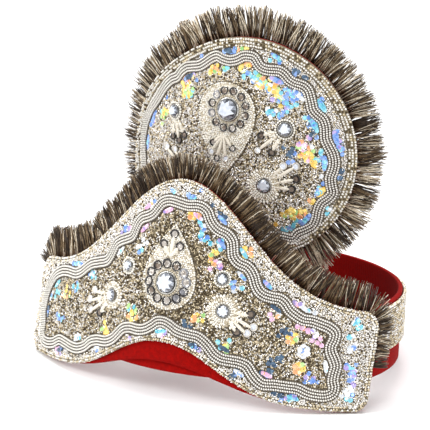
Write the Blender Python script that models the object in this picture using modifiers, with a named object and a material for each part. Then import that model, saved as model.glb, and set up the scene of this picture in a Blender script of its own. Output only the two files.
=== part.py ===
"""Fringed crown: a red cloth head band with a beaded braid round it, a peaked front plate and a bent
round disc behind it, both beaded, edged with wavy cord and set with stones, both with a thread fringe."""
import math

import bmesh
import bpy
import numpy as np
from mathutils import Matrix, Vector

# All sizes below are millimetres in the crown's own frame: x right, y back, z up from the plate's corners.
MM = 0.001
TILT = math.radians(5.48)     # the crown leans back onto the rear of its band
RAISE = 4.26                  # height of the frame's origin over the floor after the tilt
SHIFT_X = -0.245              # centres the crown over the origin
SHIFT_Y = -88.24

# Front plate: a leaning sheet bent in plan, tighter in the middle than at the ends
PLATE_LEAN = math.radians(11.77)
PLATE_BEND_MID = 0.0115
PLATE_BEND_END = 0.0034
PLATE_BEND_AT = 30.0
PLATE_HALF = 108.2            # along the bend
PLATE_PEAK = 109.5
PLATE_END_H = 52.1
PLATE_PEAK_W = 52.0
PLATE_ARCH = 27.3
PLATE_ARCH_W = 42.6
TOP_CORNER = 8.0
LOW_CORNER = 7.0
RED_ARCH = 17.2
RED_ARCH_W = 48.0

# Disc behind the plate
DISC_Y = 62.3
DISC_Z = 115.3
DISC_BEND_R = 105.8
DISC_LEAN = math.radians(1.3)
DISC_R = 63.4

# Head band
BAND_Y = 69.6
BAND_RX = 90.0
BAND_RY = 94.8
BAND_LOW = 11.43
BAND_HIGH = 48.1
BAND_WALL = 2.4
BRAID_LOW = 23.6
BRAID_HIGH = 46.8
BRAID_T = 1.4

FACE_T = 1.4
FELT_T = 1.6
GAP = 0.3
CORD_T = 1.5
CORD_W = 6.4
PAD_T = 1.3
FRINGE = 15.5

scene = bpy.context.scene
for old in list(bpy.data.objects):
    bpy.data.objects.remove(old, do_unlink=True)
crown = bpy.data.collections.new("fringed_crown")
scene.collection.children.link(crown)


# Materials
def material(name, rgb, metal, rough):
    mat = bpy.data.materials.new(name)
    mat.use_nodes = True
    bsdf = mat.node_tree.nodes["Principled BSDF"]
    bsdf.inputs["Base Color"].default_value = (*rgb, 1.0)
    bsdf.inputs["Metallic"].default_value = metal
    bsdf.inputs["Roughness"].default_value = rough
    mat.diffuse_color = (*rgb, 1.0)
    return mat


RED = material("red_cloth", (0.50, 0.012, 0.010), 0.0, 0.85)
SILVER = material("silver_beadwork", (0.52, 0.48, 0.42), 0.3, 0.45)
CORD = material("silver_cord", (0.62, 0.60, 0.57), 0.4, 0.40)
CREAM = material("cream_beadwork", (0.78, 0.72, 0.62), 0.0, 0.50)
SEQUIN = material("grey_sequins", (0.30, 0.29, 0.28), 0.6, 0.30)
METAL = material("setting_metal", (0.55, 0.54, 0.52), 1.0, 0.25)
STONE = material("clear_stone", (0.85, 0.88, 0.93), 0.0, 0.05)
THREAD = material("dark_silver_thread", (0.16, 0.13, 0.11), 0.4, 0.50)


# Shape functions
def place(p):
    c, s = math.cos(TILT), math.sin(TILT)
    x, y, z = p
    return Vector((x + SHIFT_X, c * y + s * z + SHIFT_Y, -s * y + c * z + RAISE)) * MM


ARC = np.linspace(0.0, 140.0, 561)
BEND = PLATE_BEND_END + (PLATE_BEND_MID - PLATE_BEND_END) / (1 + np.exp((ARC - PLATE_BEND_AT) / 5.0))
STEP = ARC[1] - ARC[0]
HEADING = np.concatenate([[0.0], np.cumsum((BEND[1:] + BEND[:-1]) / 2 * STEP)])
PLAN_X = np.concatenate([[0.0], np.cumsum(np.cos((HEADING[1:] + HEADING[:-1]) / 2) * STEP)])
PLAN_Y = np.concatenate([[0.0], np.cumsum(np.sin((HEADING[1:] + HEADING[:-1]) / 2) * STEP)])


def on_plate(s, h, off=0.0):
    a, side = abs(s), (1.0 if s >= 0 else -1.0)
    x, y = side * float(np.interp(a, ARC, PLAN_X)), float(np.interp(a, ARC, PLAN_Y))
    th = side * float(np.interp(a, ARC, HEADING))
    ca, sa = math.cos(PLATE_LEAN), math.sin(PLATE_LEAN)
    n = Vector((math.sin(th) * ca, -math.cos(th) * ca, math.cos(th) * sa)).normalized()
    return Vector((x, y + h * sa, h * ca)) + n * off


def on_disc(s, h, off=0.0):
    a = s / DISC_BEND_R
    n = Vector((math.sin(a), -math.cos(a), math.cos(a) * math.sin(DISC_LEAN))).normalized()
    x, y = DISC_BEND_R * math.sin(a), DISC_BEND_R * (1 - math.cos(a))
    return Vector((x, DISC_Y + y + h * math.sin(DISC_LEAN), DISC_Z + h * math.cos(DISC_LEAN))) + n * off


def corner(s, r):
    """How far a rounded corner of radius r has turned in at s."""
    d = min(max(0.0, abs(s) - (PLATE_HALF - r)), r)
    return r - math.sqrt(r * r - d * d)


def plate_top(s):
    a = abs(s)
    hump = math.exp(-(a / PLATE_PEAK_W) ** 2.085)
    return PLATE_END_H + (PLATE_PEAK - PLATE_END_H) * hump - 3.0 * a / PLATE_HALF - corner(s, TOP_CORNER)


def plate_bottom(s):
    return PLATE_ARCH * math.exp(-(abs(s) / PLATE_ARCH_W) ** 2.12) + corner(s, LOW_CORNER)


def red_bottom(s):
    return min(RED_ARCH * math.exp(-(abs(s) / RED_ARCH_W) ** 2.1) + corner(s, LOW_CORNER), plate_bottom(s))


def disc_radius(t):
    return DISC_R * (1 + 0.104 * math.cos(2 * t) + 0.053 * math.sin(2 * t)
                     - 0.017 * math.cos(3 * t) - 0.039 * math.sin(3 * t))


# Mesh helpers
def solid(name, verts, faces, mat):
    mesh = bpy.data.meshes.new(name)
    mesh.from_pydata([place(v) for v in verts], [], faces)
    mesh.materials.append(mat)
    bm = bmesh.new()
    bm.from_mesh(mesh)
    bmesh.ops.recalc_face_normals(bm, faces=bm.faces)
    bm.to_mesh(mesh)
    bm.free()
    obj = bpy.data.objects.new(name, mesh)
    crown.objects.link(obj)
    return obj


def loft(name, rings, mat, closed_path=False, close_ring=True):
    """Skins equal rings of points; the ends are capped unless the path is closed."""
    n, m = len(rings[0]), len(rings)
    verts = [p for ring in rings for p in ring]
    faces = []
    for i in range(m if closed_path else m - 1):
        j = (i + 1) % m
        for k in range(n if close_ring else n - 1):
            l = (k + 1) % n
            faces.append((i * n + k, i * n + l, j * n + l, j * n + k))
    if not closed_path and close_ring:
        faces.append(tuple(range(n)))
        faces.append(tuple(range((m - 1) * n, m * n)))
    return solid(name, verts, faces, mat)


def thicken(obj, thickness, side):
    mod = obj.modifiers.new("wall", "SOLIDIFY")
    mod.thickness = thickness * MM
    mod.offset = side
    mod.use_even_offset = True


def sheet(name, at, cols, low, high, off, thickness, mat):
    """A panel bent on the surface at(), between the edge curves low() and high(), solidified backwards."""
    verts, faces = [], []
    for s in cols:
        verts += [at(s, low(s), off), at(s, high(s), off)]
    for i in range(0, 2 * len(cols) - 2, 2):
        faces.append((i, i + 2, i + 3, i + 1))
    obj = solid(name, verts, faces, mat)
    face_front(obj)
    thicken(obj, thickness, -1.0)
    return obj


def face_front(obj):
    mesh = obj.data
    if sum(p.normal.y * p.area for p in mesh.polygons) > 0:
        mesh.flip_normals()


def stack(name, at, centre, rings, mat, under=0.5):
    """A low solid built up from rings of (ds, dh, off) round a centre on the surface at()."""
    cs, ch = centre
    n = len(rings[0])
    verts = [at(cs + a, ch + b, off) for ring in rings for a, b, off in ring]
    m = len(rings)
    faces = [(i * n + k, i * n + (k + 1) % n, (i + 1) * n + (k + 1) % n, (i + 1) * n + k)
             for i in range(m - 1) for k in range(n)]
    top = rings[-1][0][2]
    low = rings[0][0][2]
    tip = len(verts)
    verts.append(at(cs, ch, top))
    faces += [((m - 1) * n + k, (m - 1) * n + (k + 1) % n, tip) for k in range(n)]
    base = len(verts)
    verts += [at(cs + a * under, ch + b * under, low) for a, b, off in rings[0]]
    verts.append(at(cs, ch, low))
    faces += [(k, base + k, base + (k + 1) % n, (k + 1) % n) for k in range(n)]
    faces += [(base + (k + 1) % n, base + k, base + n) for k in range(n)]
    return solid(name, verts, faces, mat)


def scaled(outline, f, off):
    return [(a * f, b * f, off) for a, b in outline]


def circle(r, n, off, turn=0.0):
    return [(r * math.cos(turn + 2 * math.pi * k / n), r * math.sin(turn + 2 * math.pi * k / n), off)
            for k in range(n)]


def ribbon(name, at, path, width, off, thickness, mat):
    """A flat cord along a closed path of (s, h), lying on the surface at()."""
    n = len(path)
    rings = []
    for i, (s, h) in enumerate(path):
        a, b = path[i - 1], path[(i + 1) % n]
        t = Vector((b[0] - a[0], b[1] - a[1])).normalized()
        ns, nh = -t.y * width / 2, t.x * width / 2
        ring = []
        for f, o in ((-1.0, off), (1.0, off), (0.8, off + thickness), (-0.8, off + thickness)):
            ring.append(at(s + ns * f, h + nh * f, o))
        rings.append(ring)
    return loft(name, rings, mat, closed_path=True)


def comb(name, at, path, out, closed, head, off, thickness, lengths, mat, flare=(0.0, 0.0)):
    """Fringe: a sewn heading along path with one tapering lock per step, all in one closed skin.
    Locks lean forward by the first angle of flare in degrees, and by the second too where they point left."""
    n = len(path)
    verts, faces = [], []
    for i, ((s, h), (ns, nh)) in enumerate(zip(path, out)):
        for d, o in ((-head, off), (-head, off - thickness), (0.4, off), (0.4, off - thickness)):
            verts.append(at(s + ns * d, h + nh * d, o))
    locks = n if closed else n - 1
    for i in range(locks):
        j = (i + 1) % n
        a, b = 4 * i, 4 * j
        faces.append((a, b, b + 2, a + 2))
        faces.append((a + 1, a + 3, b + 3, b + 1))
        faces.append((a, a + 1, b + 1, b))
        base = len(verts)
        long = lengths(i)
        splay = 1.3 * math.sin(2.1 * i)
        (s0, h0), (s1, h1) = path[i], path[j]
        (u0, v0), (u1, v1) = out[i], out[j]
        for f in (0.12, 0.88):
            s, h = s0 + (s1 - s0) * f, h0 + (h1 - h0) * f
            u, v = u0 + (u1 - u0) * f, v0 + (v1 - v0) * f
            lean = math.radians(flare[0] + flare[1] * max(0.0, -u) ** 1.5)
            reach, rise = long * math.cos(lean), long * math.sin(lean)
            for o in (off + splay - 0.3, off + splay - thickness + 0.3):
                verts.append(at(s + u * reach, h + v * reach, o + rise))
        faces.append((a + 2, b + 2, base + 2, base))
        faces.append((a + 3, base + 1, base + 3, b + 3))
        faces.append((a + 2, base, base + 1, a + 3))
        faces.append((b + 2, b + 3, base + 3, base + 2))
        faces.append((base, base + 2, base + 3, base + 1))
    if not closed:
        faces.append((0, 2, 3, 1))
        e = 4 * (n - 1)
        faces.append((e, e + 1, e + 3, e + 2))
    return solid(name, verts, faces, mat)


def resample(points, count, closed):
    pts = np.array(points, float)
    if closed:
        pts = np.vstack([pts, pts[:1]])
    run = np.concatenate([[0.0], np.cumsum(np.hypot(*np.diff(pts, axis=0).T))])
    want = np.linspace(0.0, run[-1], count + 1)[:-1] if closed else np.linspace(0.0, run[-1], count)
    return np.stack([np.interp(want, run, pts[:, 0]), np.interp(want, run, pts[:, 1])], 1), run[-1]


def outward(pts, closed):
    n = len(pts)
    out = []
    for i in range(n):
        a = pts[i - 1] if (closed or i > 0) else pts[i]
        b = pts[(i + 1) % n] if (closed or i < n - 1) else pts[i]
        t = b - a
        t = t / np.hypot(*t)
        out.append((-t[1], t[0]))
    return out


# Head band: an ellipse whose front follows the back of the plate
def band_radius(t, z):
    ell = 1.0 / math.hypot(math.sin(t) / BAND_RX, math.cos(t) / BAND_RY)
    off = -(FACE_T + GAP + FELT_T + GAP)
    best = None
    angles, radii = [], []
    for k in range(-50, 51):
        s = PLATE_HALF * k / 50.0
        p = on_plate(s, (z + 0.8) / math.cos(PLATE_LEAN), off)
        angles.append(math.atan2(p.x, BAND_Y - p.y))
        radii.append(math.hypot(p.x, BAND_Y - p.y))
    if t < angles[0] or t > angles[-1]:
        return ell
    flat = float(np.interp(t, angles, radii))
    return -2.2 * math.log(math.exp(-flat / 2.2) + math.exp(-ell / 2.2))


def band_point(t, z, out=0.0):
    r = band_radius(t, z) + out
    return Vector((r * math.sin(t), BAND_Y - r * math.cos(t), z))


ROUND = [math.pi * (2 * k / 60 - 1) for k in range(60)]
edge = 0.7
rings = []
for t in ROUND:
    ring = []
    for out, z in ((-edge, BAND_LOW), (0, BAND_LOW + edge), (0, BRAID_LOW), (0, BAND_HIGH - edge),
                   (-edge, BAND_HIGH), (-BAND_WALL + edge, BAND_HIGH), (-BAND_WALL, BAND_HIGH - edge),
                   (-BAND_WALL, BAND_LOW + edge), (-BAND_WALL + edge, BAND_LOW)):
        ring.append(band_point(t, z, out))
    rings.append(ring)
loft("head_band", rings, RED, closed_path=True)

# Beaded braid round the outside of the band, from one plate end to the other
BRAID_FROM = math.radians(76)
rings = []
for t in [t for t in ROUND if t > BRAID_FROM] + [t for t in ROUND if t < -BRAID_FROM]:
    rings.append([band_point(t, z, out) for out, z in
                  ((GAP, BRAID_LOW), (GAP + BRAID_T, BRAID_LOW + 0.5), (GAP + BRAID_T, BRAID_HIGH - 0.5),
                   (GAP, BRAID_HIGH))])
loft("band_braid", rings, SILVER)

# Front plate: beaded face over a red felt backing that shows below the arch and as a thin line round it
side = [PLATE_HALF - d for d in (0.0, 0.7, 2.2, 4.5, 8.0)]
cols = [98.0 * k / 15 for k in range(-15, 16)]
cols = [-s for s in side] + cols + side[::-1]
sheet("plate_face", on_plate, cols, plate_bottom, plate_top, 0.0, FACE_T, SILVER)
wide = [s * (PLATE_HALF + 0.8) / PLATE_HALF for s in cols]
sheet("plate_backing", on_plate, wide, red_bottom, lambda s: plate_top(s) + 0.8,
      -(FACE_T + GAP), FELT_T, RED)

# Wavy cord round the plate, laid by hand: points (s, h) along the middle of its loop
PLATE_WAVE = (
    (-98.5, 10.0), (-100.0, 21.0), (-99.0, 32.0), (-92.5, 42.0), (-79.0, 47.0), (-66.0, 50.0), (-58.0, 55.5),
    (-46.0, 59.5), (-41.5, 66.0), (-36.5, 72.0), (-28.5, 76.0), (-25.5, 83.5), (-19.5, 87.5), (-14.0, 93.0),
    (-8.0, 97.5), (-1.0, 97.0), (8.0, 97.0), (14.0, 94.5), (18.5, 88.0), (25.5, 84.5), (29.5, 78.0),
    (33.5, 71.0), (40.0, 67.5), (43.5, 61.0), (48.5, 56.0), (56.5, 54.5), (62.0, 49.5), (69.5, 45.0),
    (79.0, 43.0), (86.0, 39.0), (85.0, 32.5), (87.5, 26.0), (88.5, 18.5), (89.5, 12.0), (86.0, 7.8),
    (76.5, 8.5), (66.0, 11.0), (54.5, 11.5), (48.0, 16.5), (41.0, 21.5), (32.0, 22.5), (25.0, 27.5),
    (18.5, 32.0), (10.5, 33.0), (-1.0, 37.0), (-7.5, 34.0), (-16.0, 30.5), (-25.5, 29.0), (-32.0, 22.5),
    (-44.0, 19.0), (-54.0, 13.5), (-66.0, 10.5), (-78.5, 11.0), (-91.0, 6.8))
# and its distance in from the disc's rim at each angle in degrees
DISC_WAVE = (
    (-175, 8.3), (-166, 9.8), (-157, 8.2), (-146, 10.6), (-135, 8.2), (-124, 10.6), (-113, 8.2),
    (-102, 10.6), (-91, 8.2), (-80, 10.6), (-69, 8.2), (-58, 10.4), (-48, 8.3), (-41, 9.2), (-34, 8.5),
    (-23, 11.7), (-16, 9.6), (-8, 13.2), (0, 12.4), (12, 15.8), (24, 14.1), (31, 16.0), (43, 11.9),
    (52, 14.0), (59, 12.6), (67, 14.8), (80, 9.8), (92, 11.9), (101, 8.4), (115, 10.2), (125, 8.2),
    (136, 9.6), (147, 8.2), (159, 9.6), (171, 8.2))


def smooth_loop(points, count):
    """A closed Catmull-Rom curve through the points, evenly spaced."""
    pts, curve = np.array(points, float), []
    n = len(pts)
    for i in range(n):
        a, b, c, d = pts[i - 1], pts[i], pts[(i + 1) % n], pts[(i + 2) % n]
        for k in range(8):
            t = k / 8
            curve.append(0.5 * (2 * b + (c - a) * t + (2 * a - 5 * b + 4 * c - d) * t ** 2
                                + (3 * b - a - 3 * c + d) * t ** 3))
    return resample(curve, count, True)[0]


ribbon("plate_cord", on_plate, [tuple(p) for p in smooth_loop(PLATE_WAVE, 130)], CORD_W, GAP, CORD_T, CORD)

# Disc: beaded face and red backing
def disc_sheet(name, grow, off, thickness, mat):
    turn = [2 * math.pi * k / 720 for k in range(720)]
    edge = [((disc_radius(t) + grow) * math.cos(t), (disc_radius(t) + grow) * math.sin(t)) for t in turn]
    left = min(range(720), key=lambda k: edge[k][0])
    right = max(range(720), key=lambda k: edge[k][0])
    chain = edge[right:] + edge[:right]
    cut = (left - right) % 720
    upper = np.array(chain[cut::-1])
    lower = np.array(chain[cut:] + chain[:1])
    a, b = upper[0][0], upper[-1][0]
    cols = [(a + b) / 2 + (b - a) / 2 * math.sin(math.radians(d)) for d in np.linspace(-87, 87, 25)]
    return sheet(name, on_disc, cols, lambda s: float(np.interp(s, lower[:, 0], lower[:, 1])),
                 lambda s: float(np.interp(s, upper[:, 0], upper[:, 1])), off, thickness, mat)


disc_sheet("disc_face", 0.0, 0.0, FACE_T, SILVER)
disc_sheet("disc_backing", 0.8, -(FACE_T + GAP), FELT_T, RED)


def disc_ring(inset, count):
    return [((disc_radius(t) - inset(t)) * math.cos(t), (disc_radius(t) - inset(t)) * math.sin(t))
            for t in (2 * math.pi * k / count for k in range(count))]


def wave_inset(t):
    """Eases from each angle of the table to the next."""
    d = (math.degrees(t) + 175) % 360 - 175
    table = DISC_WAVE + ((DISC_WAVE[0][0] + 360, DISC_WAVE[0][1]),)
    for (a, u), (b, v) in zip(table, table[1:]):
        if a <= d <= b:
            return u + (v - u) * (1 - math.cos(math.pi * (d - a) / (b - a))) / 2
    return table[0][1]


ribbon("disc_cord", on_disc, disc_ring(wave_inset, 96), CORD_W, GAP, CORD_T, CORD)
ribbon("disc_edge_cord", on_disc, disc_ring(lambda t: 2.5, 56), 4.0, GAP, CORD_T, CORD)


# Fringes: thread locks on a heading sewn behind the backing
def lock_length(i):
    return FRINGE + 0.9 * math.sin(1.7 * i) + 0.5 * math.sin(4.3 * i + 1.0)


def plate_lock(i):
    """The last locks, down the plate's right end, are shorter."""
    return lock_length(i) * (0.72 if i >= 28 else 1.0)


HEAD_OFF = -(FACE_T + GAP + FELT_T + GAP)
FRINGE_TO = 22.0              # height at which it ends down the right end
over = [(s, plate_top(s)) for s in np.linspace(-PLATE_HALF, PLATE_HALF, 161)]
right = [(PLATE_HALF, h) for h in np.linspace(plate_top(PLATE_HALF) - 1.0, FRINGE_TO, 8)]
edge_path, run = resample(over + right, 32, False)
edge_path[1:-1] = (edge_path[:-2] + 2 * edge_path[1:-1] + edge_path[2:]) / 4
comb("plate_fringe", on_plate, [tuple(p) for p in edge_path], outward(edge_path, False), False, 1.5,
     HEAD_OFF, 1.5, plate_lock, THREAD)

FREE = math.radians(31)       # the disc's fringe stops either side of its foot
arc = [(disc_radius(t) * math.cos(t), disc_radius(t) * math.sin(t))
       for t in np.linspace(1.5 * math.pi - FREE, -0.5 * math.pi + FREE, 181)]
arc_path, run = resample(arc, 41, False)
comb("disc_fringe", on_disc, [tuple(p) for p in arc_path], outward(arc_path, False), False, 5.0,
     HEAD_OFF, 1.5, lock_length, THREAD, (4.0, 20.0))


# Beaded teardrops with a ring of sequins, a fan of petals and a large stone in a setting
def teardrop(length, width, n, up):
    shape = []
    for k in range(n):
        t = 2 * math.pi * k / n
        a = width * math.sin(t) * math.sin(t / 2) / 0.77
        b = length * (0.5 * math.cos(t) - 0.5 + 2 / 3)
        shape.append((a, b * up))
    return shape


def pad_rings(shape, off, thickness):
    return [scaled(shape, 1.0, off), scaled(shape, 1.0, off + thickness * 0.6),
            scaled(shape, 0.93, off + thickness), scaled(shape, 0.5, off + thickness)]


def local(at, s, h, off):
    """A frame on the surface: x along s, y along h, z outwards."""
    p = at(s, h, off)
    n = (at(s, h, off + 1) - p).normalized()
    v = (at(s, h + 1, off) - p).normalized()
    u = v.cross(n).normalized()
    v = n.cross(u)
    return lambda x, y, z: p + u * x + v * y + n * z


def sequin_ring(name, at, centre, radius, count, size, off, thickness):
    """Overlapping round sequins as one scalloped ring."""
    n = count * 6
    rings = []
    for k in range(n):
        t = 2 * math.pi * k / n
        u = (k % 6) / 6 - 0.5
        lobe = math.sqrt(max(0.0, 1 - (2 * u) ** 2)) * 0.78 + 0.22
        wide = size / 2 * lobe
        ring = []
        for r, o in ((radius - wide, off), (radius + wide, off), (radius + wide, off + thickness),
                     (radius - wide, off + thickness)):
            ring.append(at(centre[0] + r * math.cos(t), centre[1] + r * math.sin(t), o))
        rings.append(ring)
    return loft(name, rings, SEQUIN, closed_path=True)


def setting(name, at, centre, radius, off):
    """A round cup with a flat floor and a low wall."""
    f = local(at, centre[0], centre[1], off)
    n = 16
    profile = ((radius + 1.0, 0.0), (radius + 1.0, 1.0), (radius + 0.7, 1.5), (radius + 0.3, 1.5),
               (radius + 0.3, 0.5))
    verts = [f(r * math.cos(2 * math.pi * k / n), r * math.sin(2 * math.pi * k / n), z)
             for r, z in profile for k in range(n)]
    faces = [(i * n + k, i * n + (k + 1) % n, (i + 1) * n + (k + 1) % n, (i + 1) * n + k)
             for i in range(len(profile) - 1) for k in range(n)]
    faces.append(tuple(range(n)))
    faces.append(tuple(range((len(profile) - 1) * n, len(profile) * n)))
    return solid(name, verts, faces, METAL)


def gem(name, at, centre, radius, off):
    """A round cut stone: table, star, kite and girdle facets over a flat back."""
    f = local(at, centre[0], centre[1], off)

    def ringed(r, z, n, turn):
        return [f(r * math.cos(turn + 2 * math.pi * k / n), r * math.sin(turn + 2 * math.pi * k / n), z)
                for k in range(n)]
    eighth = math.pi / 8
    table = ringed(radius * 0.56, radius * 0.62, 8, eighth)
    mid = ringed(radius * 0.83, radius * 0.42, 8, 0.0)
    girdle = ringed(radius, radius * 0.20, 16, 0.0)
    low = ringed(radius, radius * 0.12, 16, 0.0)
    foot = ringed(radius * 0.80, 0.0, 16, 0.0)
    verts = table + mid + girdle + low + foot
    T, M, G, L, F = 0, 8, 16, 32, 48
    faces = [tuple(range(8))]
    for k in range(8):
        j = (k + 1) % 8
        faces.append((T + k, T + j, M + j))
        faces.append((T + k, M + k, G + 2 * k + 1))
        faces.append((T + k, G + 2 * k + 1, M + j))
        faces.append((M + k, G + 2 * k, G + 2 * k + 1))
        faces.append((M + j, G + 2 * k + 1, G + (2 * k + 2) % 16))
    for k in range(16):
        j = (k + 1) % 16
        faces.append((G + k, G + j, L + j, L + k))
        faces.append((L + k, L + j, F + j, F + k))
    faces.append(tuple(F + k for k in range(16)))
    return solid(name, verts, faces, STONE)


def fan_shape(lobes, size, neck):
    """Outline of petals from a point, each ending in a round sequin; lobes are (direction, length)."""
    shape = []
    for deg, long in lobes:
        a = math.radians(deg)
        r = size / 2
        for d, w in ((neck * 1.2, -neck * 0.9), (long * 0.62, -neck * 0.62), (long, -r),
                     (long + r * 0.9, -r * 0.5), (long + r * 0.9, r * 0.5), (long, r),
                     (long * 0.62, neck * 0.62)):
            shape.append((d * math.cos(a) - w * math.sin(a), d * math.sin(a) + w * math.cos(a)))
    return shape


def fan_outline(lobes, size, neck):
    """Round-ended petals about one point, as the farthest reach in each direction from it."""
    r = size / 2
    first, end = lobes[0][0], lobes[-1][0]
    turns = [math.radians(d) for d in (first - 110, first - 55, end + 55, end + 110)]
    for deg, long in lobes:
        half = math.asin(r / long)
        turns += [math.radians(deg) + half * f for f in (-1.05, -0.93, -0.5, 0.0, 0.5, 0.93, 1.05)]
    shape = []
    for a in sorted(turns):
        if shape and a - last < math.radians(1.5):
            continue
        last, reach = a, neck
        for deg, long in lobes:
            side = long * math.sin(a - math.radians(deg))
            ahead = long * math.cos(a - math.radians(deg))
            if abs(side) < r and ahead > 0:
                reach = max(reach, ahead + math.sqrt(r * r - side * side))
        shape.append((reach * math.cos(a), reach * math.sin(a)))
    return shape


def fan(name, at, base, lobes, size, neck, off, thickness, mat):
    shape = fan_outline(lobes, size, neck)
    return stack(name, at, base, [scaled(shape, 1.0, off), scaled(shape, 0.97, off + thickness)], mat)


PAD_TOP = GAP + PAD_T
P_AXIS = -1.0
stack("plate_teardrop", on_plate, (P_AXIS, 58.0), pad_rings(teardrop(43.5, 14.9, 28, 1), GAP, PAD_T), CREAM)
sequin_ring("plate_sequin_ring", on_plate, (P_AXIS, 57.0), 10.6, 12, 4.5, PAD_TOP + GAP, 0.7)
setting("plate_stone_setting", on_plate, (P_AXIS, 57.0), 5.0, PAD_TOP + GAP)
gem("plate_stone", on_plate, (P_AXIS, 57.0), 5.0, PAD_TOP + GAP + 0.8)
fan("plate_petal_fan", on_plate, (P_AXIS, 70.7), ((52, 7.5), (90, 11.0), (128, 7.5)), 4.2, 1.5,
    PAD_TOP + GAP, 0.8, CREAM)

D_AXIS = 0.1
stack("disc_teardrop", on_disc, (D_AXIS, 19.9), pad_rings(teardrop(48.5, 17.0, 28, -1), GAP, PAD_T), CREAM)
sequin_ring("disc_sequin_ring", on_disc, (D_AXIS, 22.3), 10.7, 13, 4.5, PAD_TOP + GAP, 0.7)
setting("disc_stone_setting", on_disc, (D_AXIS, 22.3), 5.4, PAD_TOP + GAP)
gem("disc_stone", on_disc, (D_AXIS, 22.3), 5.4, PAD_TOP + GAP + 0.8)
fan("disc_petal_fan", on_disc, (-0.8, 7.2),
    ((-141, 7.9), (-125, 13.3), (-102, 12.6), (-77, 11.3), (-46, 6.5)), 3.8, 1.4, PAD_TOP + GAP, 0.8, CREAM)


# Smaller motifs: a stone in a beaded ring with petals to one side, all one piece
def motif(name, at, centre, ring_r, stone_r, lobes, size, reach=1.0):
    n_side = 9
    shape = []
    dirs = [math.radians(d) for d, _ in lobes]
    mid = sum(dirs) / len(dirs) if dirs else 0.0
    if lobes:
        first, last = dirs[0] - 0.5, dirs[-1] + 0.5
        petals = fan_shape([(d, l) for d, l in lobes], size, 1.5)
        trimmed = []
        for a, b in petals:
            r = math.hypot(a, b)
            if r < ring_r * 0.98:
                a, b = a / r * ring_r * 0.98, b / r * ring_r * 0.98
            trimmed.append((a, b))
        shape += trimmed
        sweep = 2 * math.pi - (last - first)
        shape += [(ring_r * math.cos(last + sweep * k / (n_side - 1)),
                   ring_r * math.sin(last + sweep * k / (n_side - 1))) for k in range(n_side)]
    else:
        shape = [(a, b) for a, b, _ in circle(ring_r, 12, 0)]
    shape = sorted(shape, key=lambda p: math.atan2(p[1], p[0]))
    n = len(shape)

    def inner(r, off):
        out = []
        for a, b in shape:
            d = math.atan2(b, a)
            k = round((d - 0.2) / (math.pi / 5)) * (math.pi / 5) + 0.2
            flat = r * math.cos(math.pi / 10) / math.cos(d - k)
            out.append((flat * math.cos(d), flat * math.sin(d), off))
        return out
    rings = [scaled(shape, 1.0, GAP), scaled(shape, 0.95, GAP + 1.0),
             inner(stone_r + 0.8, GAP + 1.3), inner(stone_r, GAP + 1.0), inner(stone_r, GAP + 1.6),
             inner(stone_r * 0.6, GAP + 2.4)]
    return stack(name, at, centre, rings, CREAM)


motif("plate_small_stone_left", on_plate, (-27.2, 61.0), 4.0, 2.3, (), 0)
motif("plate_small_stone_right", on_plate, (26.2, 62.4), 4.0, 2.3, (), 0)
motif("plate_flower_left", on_plate, (-36.1, 44.0), 6.6, 2.8,
      ((188, 17.0), (206, 19.5), (224, 15.0)), 4.0)
motif("plate_flower_right", on_plate, (30.2, 46.6), 6.6, 2.8,
      ((-52, 12.0), (-34, 17.0), (-8, 13.5)), 4.0)
motif("disc_small_stone_left", on_disc, (-35.2, 16.5), 4.6, 2.8, ((-82, 13.0), (-56, 13.5)), 4.0)
motif("disc_small_stone_right", on_disc, (32.3, 15.5), 5.0, 2.8,
      ((-158, 12.5), (-132, 17.0), (-112, 12.5)), 4.0)
motif("disc_flower_right", on_disc, (22.3, -14.5), 7.4, 2.9, ((3, 15.0), (24, 19.0), (44, 15.0)), 4.0)
motif("disc_flower_left", on_disc, (-23.5, -14.5), 7.4, 2.9, ((136, 15.0), (156, 19.0), (177, 15.0)), 4.0)

# Hidden stay: a cloth-covered tongue from inside the band's front up behind the disc
STAY_W = 26.0
STAY_T = 2.4


def wall_clear(z):
    return max(band_point(math.radians(d), z, -BAND_WALL).y for d in (0, 6, 12)) + GAP + 0.1 + STAY_T / 2


wall_y, foot_y = wall_clear(BAND_HIGH), wall_clear(18.0)
back_y = DISC_Y + FACE_T + GAP + FELT_T + 1.2 + STAY_T / 2
spine = [(foot_y, 18.0), (wall_y, 47.0), (wall_y + 2.5, 52.0), (wall_y + 7.0, 55.3), (wall_y + 13.0, 56.4),
         (back_y - 7.0, 56.4), (back_y - 2.0, 57.2), (back_y - 0.2, 60.0), (back_y, 66.0),
         (back_y + (112.0 - DISC_Z) * math.tan(DISC_LEAN) + 0.2, 112.0)]
rings = []
for i, (y, z) in enumerate(spine):
    a, b = spine[max(i - 1, 0)], spine[min(i + 1, len(spine) - 1)]
    t = Vector((b[0] - a[0], b[1] - a[1])).normalized()
    ny, nz = -t.y * STAY_T / 2, t.x * STAY_T / 2
    rings.append([(x, y + ny * f, z + nz * f) for x, f in
                  ((-STAY_W / 2, -1), (STAY_W / 2, -1), (STAY_W / 2, 1), (-STAY_W / 2, 1))])
loft("disc_stay", rings, RED)
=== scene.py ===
import math

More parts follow.
